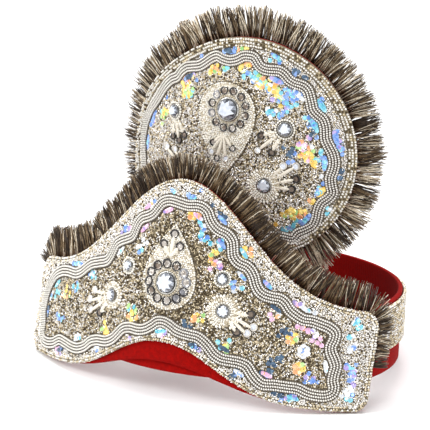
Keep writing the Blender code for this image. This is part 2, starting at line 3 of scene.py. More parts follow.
import bmesh
import bpy
import numpy as np
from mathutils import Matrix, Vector


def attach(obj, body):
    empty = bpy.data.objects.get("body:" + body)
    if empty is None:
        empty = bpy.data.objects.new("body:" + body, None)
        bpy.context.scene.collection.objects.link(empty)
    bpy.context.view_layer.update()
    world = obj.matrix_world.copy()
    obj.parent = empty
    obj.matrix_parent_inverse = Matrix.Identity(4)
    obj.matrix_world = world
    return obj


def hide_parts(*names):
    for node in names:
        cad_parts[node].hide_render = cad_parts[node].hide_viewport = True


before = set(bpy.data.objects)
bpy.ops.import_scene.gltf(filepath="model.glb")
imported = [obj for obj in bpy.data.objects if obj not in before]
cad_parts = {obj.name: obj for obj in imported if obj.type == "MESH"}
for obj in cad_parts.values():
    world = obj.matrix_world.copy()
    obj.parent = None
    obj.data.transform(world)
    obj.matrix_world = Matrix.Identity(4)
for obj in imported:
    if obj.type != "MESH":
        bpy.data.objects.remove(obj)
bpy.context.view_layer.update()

mm = 0.001
chance = np.random.default_rng(11)   # one seeded source, so each run is the same
print("stage: frame loaded,", len(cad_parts), "nodes")

# sizes that the crown was cut to, in mm: x right, y back, z up from the plate's corners
crown = {"tilt": math.radians(5.48), "raise": 4.26, "shiftX": -0.245, "shiftY": -88.24}
plate = {"lean": math.radians(11.77), "bendMid": 0.0115, "bendEnd": 0.0034, "bendAt": 30.0, "bendSoft": 5.0,
         "half": 108.2, "peak": 109.5, "peakWide": 52.0, "peakPower": 2.085, "endHigh": 52.1, "endDrop": 3.0,
         "arch": 27.3, "archWide": 42.6, "archPower": 2.12, "topCorner": 8.0, "lowCorner": 7.0,
         "redArch": 17.2, "redArchWide": 48.0, "redPower": 2.1}
disc = {"y": 62.3, "z": 115.3, "bend": 105.8, "lean": math.radians(1.3), "radius": 63.4}
band = {"y": 69.6, "rx": 90.0, "ry": 94.8, "low": 11.43, "high": 48.1, "wall": 2.4, "ease": 2.2,
        "braidLow": 23.6, "braidHigh": 46.8, "braidFrom": 78.0}
layer = {"face": 1.4, "felt": 1.6, "gap": 0.3, "pad": 1.3}
padTop = layer["gap"] + layer["pad"]
feltTop = -(layer["face"] + layer["gap"])
headingBack = -(layer["face"] + layer["gap"] + layer["felt"] + layer["gap"])


# camera, floor and light: a long lens a little above and to the crown's left hand side
view = {"lens": 251.16, "sensor": 36.0, "near": 0.05, "far": 50.0, "place": (0.73166, -1.29707, 0.52525),
        "aim": (-0.0036, -0.02093, 0.08058)}
camera = bpy.data.objects.new("camera", bpy.data.cameras.new("camera"))
bpy.context.scene.collection.objects.link(camera)
camera.data.lens, camera.data.sensor_width = view["lens"], view["sensor"]
camera.data.clip_start, camera.data.clip_end = view["near"], view["far"]
camera.location = view["place"]
aim = Vector(view["aim"]) - camera.location
camera.rotation_mode = "QUATERNION"
camera.rotation_quaternion = aim.to_track_quat("-Z", "Y")
bpy.context.scene.camera = camera
bpy.context.scene.view_settings.view_transform = "Standard"   # plain colours, as in a product photo


def toLinear(code):
    parts = [int(code[i:i + 2], 16) / 255 for i in (1, 3, 5)]
    return [c / 12.92 if c <= 0.04045 else ((c + 0.055) / 1.055) ** 2.4 for c in parts] + [1.0]


def addNode(mat, kind, values=None, links=None, **settings):
    node = mat.node_tree.nodes.new(kind)
    for key, value in settings.items():
        setattr(node, key, value)
    for key, value in (values or {}).items():
        node.inputs[key].default_value = value
    for key, source in (links or {}).items():
        mat.node_tree.links.new(source, node.inputs[key])
    return node


# low and high are the darkest and lightest colour, grain the size of one patch of colour in mm.
def finishOf(name, low, high, grain, rough, metal=0.0, bump=0.0, spread=0.15, sheen=0.0, coat=0.0, middle=0.5,
             soft=0.25, ior=1.5):
    mat = bpy.data.materials.new(name)
    mat.use_nodes = True
    shader = mat.node_tree.nodes["Principled BSDF"]
    spot = addNode(mat, "ShaderNodeTexCoord")
    size = addNode(mat, "ShaderNodeMapping", {"Scale": (1 / (grain * mm),) * 3},
                   {"Vector": spot.outputs["Object"]})
    noise = addNode(mat, "ShaderNodeTexNoise", {"Scale": 1.0, "Detail": 2.5, "Roughness": 0.6},
                    {"Vector": size.outputs["Vector"]})
    ramp = addNode(mat, "ShaderNodeValToRGB", links={"Fac": noise.outputs["Fac"]})
    ramp.color_ramp.elements[0].position = middle - soft
    ramp.color_ramp.elements[1].position = middle + soft
    ramp.color_ramp.elements[0].color = toLinear(low)
    ramp.color_ramp.elements[1].color = toLinear(high)
    worn = addNode(mat, "ShaderNodeMapRange", {"To Min": max(rough - spread, 0.02), "To Max": rough + spread},
                   {"Value": noise.outputs["Fac"]})
    links = mat.node_tree.links
    links.new(ramp.outputs["Color"], shader.inputs["Base Color"])
    links.new(worn.outputs["Result"], shader.inputs["Roughness"])
    shader.inputs["Metallic"].default_value = metal
    shader.inputs["Sheen Weight"].default_value = sheen
    shader.inputs["Coat Weight"].default_value = coat
    if not metal:
        shader.inputs["IOR"].default_value = ior
    if bump:
        fine = addNode(mat, "ShaderNodeTexNoise", {"Scale": 2.2, "Detail": 3.0},
                       {"Vector": size.outputs["Vector"]})
        press = addNode(mat, "ShaderNodeBump", {"Strength": 0.8, "Distance": bump * mm},
                        {"Height": fine.outputs["Fac"]})
        links.new(press.outputs["Normal"], shader.inputs["Normal"])
    return mat


# seamless paper roll
floorPaint = finishOf("floor_matt_paper", "#f7f7f7", "#ffffff", 60.0, 0.9, spread=0.05)
bpy.ops.object.select_all(action="DESELECT")
bpy.ops.mesh.primitive_grid_add(x_subdivisions=4, y_subdivisions=4, size=30, location=(0, 0, 0))
floor = bpy.context.object
floor.name = "paper_floor"
floor.data.materials.append(floorPaint)


def softbox(name, place, towards, size, power):
    lamp = bpy.data.lights.new(name, "AREA")
    lamp.shape, lamp.size, lamp.size_y, lamp.energy = "RECTANGLE", size[0], size[1], power
    holder = bpy.data.objects.new(name, lamp)
    bpy.context.scene.collection.objects.link(holder)
    holder.location = place
    holder.rotation_mode = "QUATERNION"
    holder.rotation_quaternion = (Vector(towards) - Vector(place)).to_track_quat("-Z", "Y")


softbox("left_softbox", (-1.3, -1.1, 1.3), (0, 0, 0.08), (0.9, 0.9), 27)
softbox("right_softbox", (1.6, -0.9, 0.9), (0, 0, 0.08), (0.5, 0.9), 9)
softbox("top_softbox", (0.1, 0.2, 1.9), (0, 0, 0.05), (1.5, 1.5), 27)
softbox("back_softbox", (-0.4, 1.6, 1.2), (0, 0, 0.05), (1.2, 0.8), 12)

# pale studio all round: white at the horizon, greyer overhead so that cut metal has something to reflect
world = bpy.data.worlds.new("pale_studio")
world.use_nodes = True
bpy.context.scene.world = world
spot = addNode(world, "ShaderNodeTexCoord")
split = addNode(world, "ShaderNodeSeparateXYZ", links={"Vector": spot.outputs["Generated"]})
shade = addNode(world, "ShaderNodeValToRGB", links={"Fac": split.outputs["Z"]})
shade.color_ramp.elements[0].position, shade.color_ramp.elements[1].position = 0.12, 0.5
shade.color_ramp.elements[0].color, shade.color_ramp.elements[1].color = (1, 1, 1, 1), (0.42, 0.42, 0.43, 1)
background = world.node_tree.nodes["Background"]
world.node_tree.links.new(shade.outputs["Color"], background.inputs["Color"])
background.inputs["Strength"].default_value = 1.0
print("stage: camera, floor and light")


# the bent surfaces that everything is sewn to
# Crown mm to metres as it stands.
def placed(points):
    p = np.asarray(points, float)
    c, s = math.cos(crown["tilt"]), math.sin(crown["tilt"])
    return np.stack([p[..., 0] + crown["shiftX"], c * p[..., 1] + s * p[..., 2] + crown["shiftY"],
                     -s * p[..., 1] + c * p[..., 2] + crown["raise"]], -1) * mm


def unit(v):
    return v / np.linalg.norm(v, axis=-1, keepdims=True)


def summed(steps):
    return np.concatenate([[0.0], np.cumsum(steps)])


def floats(*values):
    return np.broadcast_arrays(*[np.asarray(v, float) for v in values])


# the plate in plan, by the distance from its middle: bent most there, nearly straight at the ends
arc = np.linspace(0.0, 140.0, 561)
bendFade = 1 + np.exp((arc - plate["bendAt"]) / plate["bendSoft"])
bend = plate["bendEnd"] + (plate["bendMid"] - plate["bendEnd"]) / bendFade
arcStep = arc[1] - arc[0]
heading = summed((bend[1:] + bend[:-1]) / 2 * arcStep)
midHeading = (heading[1:] + heading[:-1]) / 2
planX, planY = summed(np.cos(midHeading) * arcStep), summed(np.sin(midHeading) * arcStep)


def onPlate(s, h, off=0.0):
    s, h, off = floats(s, h, off)
    a, side = np.abs(s), np.where(s >= 0, 1.0, -1.0)
    turn = side * np.interp(a, arc, heading)
    ca, sa = math.cos(plate["lean"]), math.sin(plate["lean"])
    n = unit(np.stack([np.sin(turn) * ca, -np.cos(turn) * ca, np.cos(turn) * sa], -1))
    y = np.interp(a, arc, planY) + h * sa
    return np.stack([side * np.interp(a, arc, planX), y, h * ca], -1) + n * off[..., None]


def onDisc(s, h, off=0.0):
    s, h, off = floats(s, h, off)
    a = s / disc["bend"]
    n = unit(np.stack([np.sin(a), -np.cos(a), np.cos(a) * math.sin(disc["lean"])], -1))
    y = disc["y"] + disc["bend"] * (1 - np.cos(a)) + h * math.sin(disc["lean"])
    z = disc["z"] + h * math.cos(disc["lean"])
    return np.stack([disc["bend"] * np.sin(a), y, z], -1) + n * off[..., None]


def cornerCut(s, r):
    d = np.clip(np.abs(s) - (plate["half"] - r), 0, r)
    return r - np.sqrt(r * r - d * d)


def plateTop(s):
    a = np.abs(s)
    hump = np.exp(-(a / plate["peakWide"]) ** plate["peakPower"])
    return (plate["endHigh"] + (plate["peak"] - plate["endHigh"]) * hump
            - plate["endDrop"] * a / plate["half"] - cornerCut(s, plate["topCorner"]))


def plateBottom(s):
    arch = np.exp(-(np.abs(s) / plate["archWide"]) ** plate["archPower"])
    return plate["arch"] * arch + cornerCut(s, plate["lowCorner"])


def redBottom(s):
    arch = np.exp(-(np.abs(s) / plate["redArchWide"]) ** plate["redPower"])
    return np.minimum(plate["redArch"] * arch + cornerCut(s, plate["lowCorner"]), plateBottom(s))


# The disc isn't quite round: mm from its centre to its rim, by angle.
def discRadius(t):
    return disc["radius"] * (1 + 0.104 * np.cos(2 * t) + 0.053 * np.sin(2 * t)
                             - 0.017 * np.cos(3 * t) - 0.039 * np.sin(3 * t))


# The same outline moved inwards, as points.
def discRing(t, inward):
    return np.stack([(discRadius(t) - inward) * np.cos(t), (discRadius(t) - inward) * np.sin(t)], 1)


# Points on a surface and the three directions there: along s, up h and outwards.
def axesAt(at, s, h, off):
    p = at(s, h, off)
    n = unit(at(s, h, np.asarray(off) + 1.0) - p)
    v = unit(at(s, np.asarray(h) + 0.5, off) - p)
    u = unit(np.cross(v, n))
    return p, np.stack([u, np.cross(n, u), n], -2)


def turned(axes, angle):
    c, s = np.cos(angle)[:, None], np.sin(angle)[:, None]
    u, v, n = axes[:, 0], axes[:, 1], axes[:, 2]
    return np.stack([u * c + v * s, v * c - u * s, n], 1)


# Leans each set of directions by its own small angle.
def tipped(axes, amount):
    u, v, n = axes[:, 0], axes[:, 1], axes[:, 2]
    n = unit(n + u * chance.normal(0, amount, (len(n), 1)) + v * chance.normal(0, amount, (len(n), 1)))
    u = unit(np.cross(v, n))
    return np.stack([u, np.cross(n, u), n], 1)


def sized(axes, x, y=None, z=None):
    k = len(axes)
    f = np.stack([np.broadcast_to(q, k) for q in (x, x if y is None else y, x if z is None else z)], 1)
    return axes * f[:, :, None]


# meshes: small shapes are modelled once, then sewn on as many copies in one mesh
def readShape(obj):
    mesh = obj.data
    shape = {"points": np.empty(len(mesh.vertices) * 3), "corners": np.empty(len(mesh.loops), np.int32),
             "counts": np.empty(len(mesh.polygons), np.int32),
             "slots": np.empty(len(mesh.polygons), np.int32),
             "smooth": np.empty(len(mesh.polygons), bool)}
    mesh.vertices.foreach_get("co", shape["points"])
    mesh.loops.foreach_get("vertex_index", shape["corners"])
    mesh.polygons.foreach_get("loop_total", shape["counts"])
    mesh.polygons.foreach_get("material_index", shape["slots"])
    mesh.polygons.foreach_get("use_smooth", shape["smooth"])
    shape["points"] = shape["points"].reshape(-1, 3)
    bpy.data.objects.remove(obj, do_unlink=True)
    return shape


def handShape(points, faces, slots=None):
    return {"points": np.asarray(points, float), "corners": np.array([c for f in faces for c in f], np.int32),
            "counts": np.array([len(f) for f in faces], np.int32),
            "slots": np.zeros(len(faces), np.int32) if slots is None else np.asarray(slots, np.int32),
            "smooth": np.ones(len(faces), bool)}


# A batch of one shape at many places; slots moves each copy on to another material.
def copies(shape, origins, axes, slots=0):
    k, n = len(origins), len(shape["points"])
    points = origins[:, None, :] + np.einsum("pk,nkj->npj", shape["points"], axes)
    corners = (shape["corners"][None, :] + n * np.arange(k)[:, None]).ravel()
    return {"points": points.reshape(-1, 3), "corners": corners, "counts": np.tile(shape["counts"], k),
            "slots": (shape["slots"][None, :] + np.broadcast_to(slots, k)[:, None]).ravel(),
            "smooth": np.tile(shape["smooth"], k)}


# One piece from all its batches, in place, riding on the crown.
def sewn(name, batches, materials, nodes=(), body="root"):
    batches = [b for b in batches if len(b["points"])]
    points = placed(np.concatenate([b["points"] for b in batches]))
    starts = np.cumsum([0] + [len(b["points"]) for b in batches])
    corners = np.concatenate([b["corners"] + k for b, k in zip(batches, starts)]).astype(np.int32)
    counts = np.concatenate([b["counts"] for b in batches]).astype(np.int32)
    mesh = bpy.data.meshes.new(name)
    mesh.vertices.add(len(points))
    mesh.vertices.foreach_set("co", points.ravel())
    mesh.loops.add(len(corners))
    mesh.loops.foreach_set("vertex_index", corners)
    mesh.polygons.add(len(counts))
    mesh.polygons.foreach_set("loop_start", np.concatenate([[0], np.cumsum(counts)[:-1]]).astype(np.int32))
    for m in materials:
        mesh.materials.append(m)
    slots = np.concatenate([b["slots"] for b in batches]).astype(np.int32)
    mesh.polygons.foreach_set("material_index", slots)
    mesh.update(calc_edges=True)
    mesh.polygons.foreach_set("use_smooth", np.concatenate([b["smooth"] for b in batches]))
    mesh.validate()
    piece = bpy.data.objects.new(name, mesh)
    bpy.context.scene.collection.objects.link(piece)
    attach(piece, body)
    if nodes:
        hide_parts(*nodes)
    print("piece:", name, "faces", len(counts), "triangles", int((counts - 2).sum()))
    return piece


# A wall between two equal grids of points, closed round its edges. closedAcross joins the first and last row.
def gridShape(front, back, closedAcross=False):
    rows, cols = front.shape[:2]
    points = np.concatenate([front.reshape(-1, 3), back.reshape(-1, 3)])
    base = rows * cols
    faces = []
    for i in range(rows if closedAcross else rows - 1):
        j = (i + 1) % rows
        for k in range(cols - 1):
            a, b, c, d = i * cols + k, i * cols + k + 1, j * cols + k + 1, j * cols + k
            faces += [(a, b, c, d), (base + d, base + c, base + b, base + a)]
    for i in range(rows if closedAcross else rows - 1):
        a, b = i * cols, ((i + 1) % rows) * cols
        faces.append((a, b, base + b, base + a))
        a, b = a + cols - 1, b + cols - 1
        faces.append((b, a, base + a, base + b))
    if not closedAcross:
        for k in range(cols - 1):
            faces.append((k + 1, k, base + k, base + k + 1))
            a = (rows - 1) * cols + k
            faces.append((a, a + 1, base + a + 1, base + a))
    return handShape(points, faces)


def asIs(shape):
    return copies(shape, np.zeros((1, 3)), np.eye(3)[None])


# Turns all faces outwards, as Recalculate Outside does, on a closed shape.
def setRight(piece):
    bm = bmesh.new()
    bm.from_mesh(piece.data)
    bmesh.ops.recalc_face_normals(bm, faces=bm.faces)
    bm.to_mesh(piece.data)
    bm.free()
    return piece


# How far along a line of points each one lies, and the points at given distances along it.
def runOf(p):
    return summed(np.hypot(*np.diff(p, axis=0).T))


def pointsAt(want, run, p):
    return np.stack([np.interp(want, run, p[:, 0]), np.interp(want, run, p[:, 1])], 1)


# Points spaced evenly round a closed line of (s, h), with the direction at each.
def along(points, gap):
    p = np.asarray(points, float)
    p = np.vstack([p, p[:1]])
    run = runOf(p)
    count = max(int(round(run[-1] / gap)), 3)
    want = np.linspace(0, run[-1], count + 1)[:-1]
    ahead = pointsAt(np.minimum(want + 0.4, run[-1]), run, p)
    behind = pointsAt(np.maximum(want - 0.4, 0), run, p)
    return pointsAt(want, run, p), np.arctan2(*(ahead - behind).T[::-1])


# The same line moved to its left by some mm.
def shifted(points, by, closed=True):
    p = np.asarray(points, float)
    t = unit(np.roll(p, -1, 0) - np.roll(p, 1, 0) if closed else np.gradient(p, axis=0))
    return p + np.stack([-t[:, 1], t[:, 0]], 1) * by


# Copies of one shape laid on a surface, each turned by its angle.
def laid(shape, at, s, h, off, angle, size, slots=0):
    p, axes = axesAt(at, s, h, off)
    return copies(shape, p, sized(turned(axes, angle), *size), slots)


# Beads of one shape threaded along a closed line on a surface.
def stringOf(shape, at, line, gap, size, off, slots=0, tilt=0.0):
    spots, angle = along(line, gap)
    return laid(shape, at, spots[:, 0], spots[:, 1], off, angle + tilt, size, slots)


# Shortest distance from each point to a line of points.
def cutGap(points, line):
    best = np.full(len(points), 1e9)
    for i in range(0, len(line), 64):
        part = line[i:i + 64]
        best = np.minimum(best, np.sqrt(((points[:, None, :] - part[None]) ** 2).sum(-1)).min(1))
    return best


# small shapes, 1 mm across, facing +z
def newPrimitive(add, **how):
    bpy.ops.object.select_all(action="DESELECT")
    add(**how)
    return bpy.context.object


# Insets the top face again and again; each step is the inset and then the shift of what is left of the face.
def insetTop(obj, steps):
    bpy.ops.object.mode_set(mode="EDIT")
    bm = bmesh.from_edit_mesh(obj.data)
    for f in bm.faces:
        f.select = f.normal.z > 0.9
    bmesh.update_edit_mesh(obj.data)
    for thickness, shift in steps:
        bpy.ops.mesh.inset(thickness=thickness)
        if shift:
            bpy.ops.transform.translate(value=shift)
    bpy.ops.object.mode_set(mode="OBJECT")


def seedBead(segments=8, rings=5):
    ball = newPrimitive(bpy.ops.mesh.primitive_uv_sphere_add, segments=segments, ring_count=rings, radius=0.5)
    bpy.ops.object.shade_smooth()
    return readShape(ball)


# A short cut metal bead: a four-sided bar drawn to a point at each end.
def cutBead():
    return readShape(newPrimitive(bpy.ops.mesh.primitive_uv_sphere_add, segments=4, ring_count=2, radius=0.5))


# A round cupped sequin: a dark rolled rim round a dished middle that sits off centre; the dark rim, wider
# on one side, is partly painted shade inside the cup.
def cupSequin():
    dish = newPrimitive(bpy.ops.mesh.primitive_cylinder_add, vertices=16, radius=0.49, depth=0.16)
    insetTop(dish, ((0.08, None), (0.08, (-0.06, 0, -0.11)), (0.2, (0, 0, 0.07))))
    for f in dish.data.polygons:
        f.material_index = 1 if math.hypot(f.center.x + 0.05, f.center.y) < 0.31 and f.normal.z > 0.3 else 0
    bpy.ops.object.shade_smooth_by_angle(angle=math.radians(40))
    return readShape(dish)


def foilFlake():
    leaf = newPrimitive(bpy.ops.mesh.primitive_cylinder_add, vertices=9, radius=0.5, depth=0.06)
    insetTop(leaf, ((0.16, (0, 0, 0.035)),))
    return readShape(leaf)


# A petal wound with thread, from a point at the origin to a round end at x = 1.
def threadPetal():
    lobe = newPrimitive(bpy.ops.mesh.primitive_uv_sphere_add, segments=18, ring_count=12, radius=0.5,
                        rotation=(0, math.pi / 2, 0))
    bpy.ops.object.transform_apply(location=False, rotation=True, scale=False)
    for v in lobe.data.vertices:
        t = v.co.x + 0.5
        ridge = 1 + 0.07 * math.sin(9 * math.atan2(v.co.z, v.co.y))
        fat = (0.35 + 0.65 * t) * ridge
        v.co = (t, v.co.y * fat, v.co.z * fat)
    bpy.ops.object.shade_smooth()
    return readShape(lobe)


# A plated round setting with a rolled lip: open above a flat floor.
def stoneCup():
    setting = newPrimitive(bpy.ops.mesh.primitive_cylinder_add, vertices=28, radius=0.5, depth=0.2)
    insetTop(setting, ((0.065, (0, 0, 0.04)), (0.03, (0, 0, -0.12))))
    bpy.ops.object.shade_smooth_by_angle(angle=math.radians(50))
    return readShape(setting)


# A round brilliant with a flat back, radius 1: the table and star facets make an eight-pointed star.
# Its bright, grey and dark facet slots are painted reflections; dim names the star facets painted dark.
def cutStone(dim=()):
    def ring(r, z, n, turn):
        return [(r * math.cos(turn + 2 * math.pi * k / n), r * math.sin(turn + 2 * math.pi * k / n), z)
                for k in range(n)]
    points = ring(0.62, 0.60, 8, math.pi / 8) + ring(0.93, 0.32, 8, 0)
    points += ring(1, 0.2, 16, 0) + ring(1, 0.12, 16, 0) + ring(0.8, 0.0, 16, 0)
    faces, slots = [tuple(range(8))], [0]
    for k in range(8):
        j, low = (k + 1) % 8, 16 + 2 * k
        faces += [(k, 8 + j, j), (k, 8 + k, low + 1), (k, low + 1, 8 + j), (8 + k, low, low + 1),
                  (8 + j, low + 1, 16 + (2 * k + 2) % 16)]
        slots += [0 if k not in dim else 1, 1 + (k % 2), 2 - (k % 2), 2, 1]
    for k in range(16):
        j = (k + 1) % 16
        faces += [(16 + k, 16 + j, 32 + j, 32 + k), (32 + k, 32 + j, 48 + j, 48 + k)]
        slots += [1, 2]
    faces.append(tuple(48 + k for k in range(16)))
    slots.append(1)
    mesh = bpy.data.meshes.new("stone")
    mesh.from_pydata(points, [], faces)
    for f, s in zip(mesh.polygons, slots):
        f.material_index = s
    return readShape(setRight(bpy.data.objects.new("stone", mesh)))


bead, smallBead, metalBead, sequin = seedBead(), seedBead(6, 4), cutBead(), cupSequin()
flake, petal, cup, stone, dimStone = foilFlake(), threadPetal(), stoneCup(), cutStone(), cutStone((2, 5))
print("stage: small shapes modelled")

# finishes
# wool felt, needled and dyed: matt with a soft fuzz that catches light at its edges
redFelt = finishOf("red_wool_felt", "#7d0402", "#9d0905", 2.2, 0.92, bump=0.12, sheen=0.02, ior=1.15)
# ribbed cotton lining, darker in its grooves
redRib = finishOf("red_ribbed_lining", "#640301", "#860603", 0.8, 0.85, bump=0.08, sheen=0.01, ior=1.15)
# cloth under the beads: dull brown thread that reads as shadow between them
ground = finishOf("brown_thread_ground", "#4a4032", "#a3967e", 0.7, 0.6, metal=0.1, bump=0.15)
# cut beads, plated brass: silver worn to champagne. Each bead is one flat tone, so the dull and dark ones
# are painted shade on facets turned from the light.
brightCut = finishOf("cut_bead_silver", "#e8e0d4", "#ffffff", 1.1, 0.26, metal=0.45)
champagneCut = finishOf("cut_bead_champagne", "#bba983", "#f1e4c9", 1.1, 0.3, metal=0.45)
dullShadedCut = finishOf("cut_bead_dull_painted_shade", "#7a6d54", "#b0a283", 1.1, 0.34, metal=0.5)
darkShadedCut = finishOf("cut_bead_dark_painted_shade", "#3b2f1e", "#6b5a3f", 1.1, 0.4, metal=0.5)
# spun viscose cord with a silver wrap: soft shine, pale grey
silverCord = finishOf("silver_wrapped_cord", "#d6d1c7", "#fffdf8", 0.8, 0.38, metal=0.3, bump=0.05)
# dark backing tape under the braids' beads: its colour is painted shade in the gaps between the rows
cordShade = finishOf("cord_backing_painted_shade", "#443c32", "#70665a", 0.7, 0.7)
# glass seed beads, ivory, tumbled
ivoryBead = finishOf("ivory_seed_bead", "#efe8d8", "#fffdf6", 1.3, 0.32, coat=0.25, ior=1.52)
padCloth = finishOf("buff_pad_felt", "#c9bfaa", "#eee6d6", 0.9, 0.85, bump=0.1)
pearlBead = finishOf("buff_seed_bead", "#b3a68c", "#ded2ba", 1.3, 0.32, coat=0.25, ior=1.52)
creamThread = finishOf("cream_cotton_thread", "#cfc4ad", "#fbf6ea", 0.6, 0.7, bump=0.1, sheen=0.1)
# moulded cup sequins: charcoal rim, partly their own colour and partly painted shade inside the cup, smoky
# middle
sequinRimAndShade = finishOf("charcoal_sequin_rim_and_shade", "#1a1818", "#484443", 1.4, 0.24, metal=0.4)
sequinMiddle = finishOf("smoky_sequin_middle", "#857a70", "#dcd6ce", 2.6, 0.22, metal=0.35)
sequinBrown = finishOf("bronze_sequin_middle", "#4d4136", "#97887a", 2.0, 0.24, metal=0.35)
sequinGrey = finishOf("graphite_sequin_middle", "#5c5c60", "#b3b3b8", 2.0, 0.22, metal=0.35)
sequinClear = finishOf("clear_sequin", "#b3aba0", "#efeae1", 1.6, 0.15, metal=0.2, coat=0.5)
# rhodium plated brass
plated = finishOf("plated_brass", "#8f8d88", "#dcdad4", 0.9, 0.2, metal=1.0)
# foiled glass stones: bright face, grey and dark facets, each a painted reflection on the facet
stoneWhite = finishOf("foiled_glass_bright", "#ccd6e5", "#f3f6fb", 2.0, 0.06, metal=0.15, coat=1.0,
                      spread=0.03)
stoneGreyReflection = finishOf("foiled_glass_grey_painted_reflection", "#777c86", "#b4bac4", 1.6, 0.06, metal=0.5, coat=1.0, spread=0.03)
stoneDarkReflection = finishOf("foiled_glass_dark_painted_reflection", "#33353c", "#6f737c", 1.6, 0.06, metal=0.5, coat=1.0, spread=0.03)
# lurex fringe: flat metallic yarn, dark silver gone brown
threadDark = finishOf("dark_lurex_thread", "#1b1108", "#493623", 1.5, 0.42, metal=0.2)
threadMid = finishOf("brown_silver_thread", "#604b35", "#98815f", 1.5, 0.38, metal=0.25)
threadLight = finishOf("bright_silver_thread", "#cbb898", "#fdf3df", 1.5, 0.3, metal=0.25)
# holographic film, heat-cut into flakes: each catches one band of colour
foilCodes = {"c": ("cyan", "#2fb2d2", "#b6f1fb"), "b": ("blue", "#3f7bd8", "#aecbf6"),
             "p": ("violet", "#8d78cb", "#d6c8f6"), "r": ("pink", "#e39ccd", "#fbe0f4"),
             "y": ("yellow", "#f0b616", "#fff19a"), "o": ("orange", "#ee8f42", "#ffcfa2"),
             "g": ("green", "#84cc74", "#e2f7ac"), "w": ("white", "#cfd8e2", "#ffffff"),
             "n": ("navy", "#1c3350", "#5f7c96")}
foils = [finishOf("holographic_film_" + name, low, high, 2.4, 0.22, metal=0.4, coat=0.6)
         for name, low, high in foilCodes.values()]
foilIndex = {k: i for i, k in enumerate(foilCodes)}
print("stage: finishes")


# head band; firstLined is where the lining starts in its profile, reach how far its walls run below each edge
bandPiece = {"ribs": 330, "ribDeep": 0.16, "edge": 0.7, "firstLined": 13, "reach": 4}


def plateBackAt(z):
    s = np.linspace(-plate["half"], plate["half"], 101)
    p = onPlate(s, (z + 0.8) / math.cos(plate["lean"]), headingBack)
    return np.arctan2(p[:, 0], band["y"] - p[:, 1]), np.hypot(p[:, 0], band["y"] - p[:, 1])


# An ellipse, eased into the plate's back where it meets it.
def bandRadius(t, z):
    angles, radii = plateBackAt(z)
    ell = 1.0 / np.hypot(np.sin(t) / band["rx"], np.cos(t) / band["ry"])
    flat = np.interp(t, angles, radii)
    eased = -band["ease"] * np.log(np.exp(-flat / band["ease"]) + np.exp(-ell / band["ease"]))
    return np.where((t < angles[0]) | (t > angles[-1]), ell, eased)


def bandPoints(t, z, out=0.0):
    r = bandRadius(t, z) + out
    return np.stack([r * np.sin(t), band["y"] - r * np.cos(t), np.full_like(t, z)], -1)


def makeBand():
    steps = bandPiece["ribs"] * 3
    t = np.linspace(-math.pi, math.pi, steps, endpoint=False)
    ridge = bandPiece["ribDeep"] * np.cos(2 * math.pi * bandPiece["ribs"] * np.arange(steps) / steps)
    e, w, low, high = bandPiece["edge"], band["wall"], band["low"], band["high"]
    walls = np.linspace(low + bandPiece["reach"], high - bandPiece["reach"], 5)
    # (outwards from the outer wall, height, share of the ribs' depth), up the outside and down the inside
    profile = [(-w + e * 0.3, low + e * 0.2, 0), (-e, low, 0), (-0.2, low + 0.3, 0), (0, low + e, 0)]
    profile += [(0, z, 0) for z in walls]
    profile += [(0, high - e, 0), (-0.25, high - 0.25, 0), (-e, high, 0), (-w + e, high, 0),
                (-w + 0.2, high - 0.3, 0.4), (-w, high - e, 1)]
    profile += [(-w, z, 1) for z in walls[::-1]] + [(-w, low + e, 1)]
    rings = [bandPoints(t, z, out) for out, z, share in profile]
    for ring, (out, z, share) in zip(rings, profile):
        if share:
            middle = np.stack([np.zeros(steps), np.full(steps, band["y"]), ring[:, 2]], -1)
            ring += unit(ring - middle) * (ridge * share)[:, None]
    m = len(profile)
    faces = [(i * m + k, i * m + (k + 1) % m, (i + 1) % steps * m + (k + 1) % m, (i + 1) % steps * m + k)
             for i in range(steps) for k in range(m)]
    slots = np.tile(np.arange(m) >= bandPiece["firstLined"], steps)
    return setRight(sewn("band_cloth", [asIs(handShape(np.stack(rings, 1).reshape(-1, 3), faces, slots))],
                         [redFelt, redRib], ["head_band"]))


bandCloth = makeBand()

# beaded braid: upright rows of beads on a tape, with two rows of larger beads along each edge
braid = {"rowGap": 1.75, "beadGap": 1.15, "bead": 1.05, "out": 0.6, "middle": 35.0, "tape": 0.55,
         "tapeIn": 0.4, "edgeGap": 1.35, "edgeTurn": 0.5}


# Upright axes for beads on the band: along it, up and outwards.
def bandAxes(t, z, out):
    p = bandPoints(t, z, out)
    outward = unit(bandPoints(t, z, out + 1.0) - p)
    up = np.tile([0.0, 0.0, 1.0], (len(p), 1))
    return p, np.stack([unit(np.cross(up, outward)), up, outward], 1)


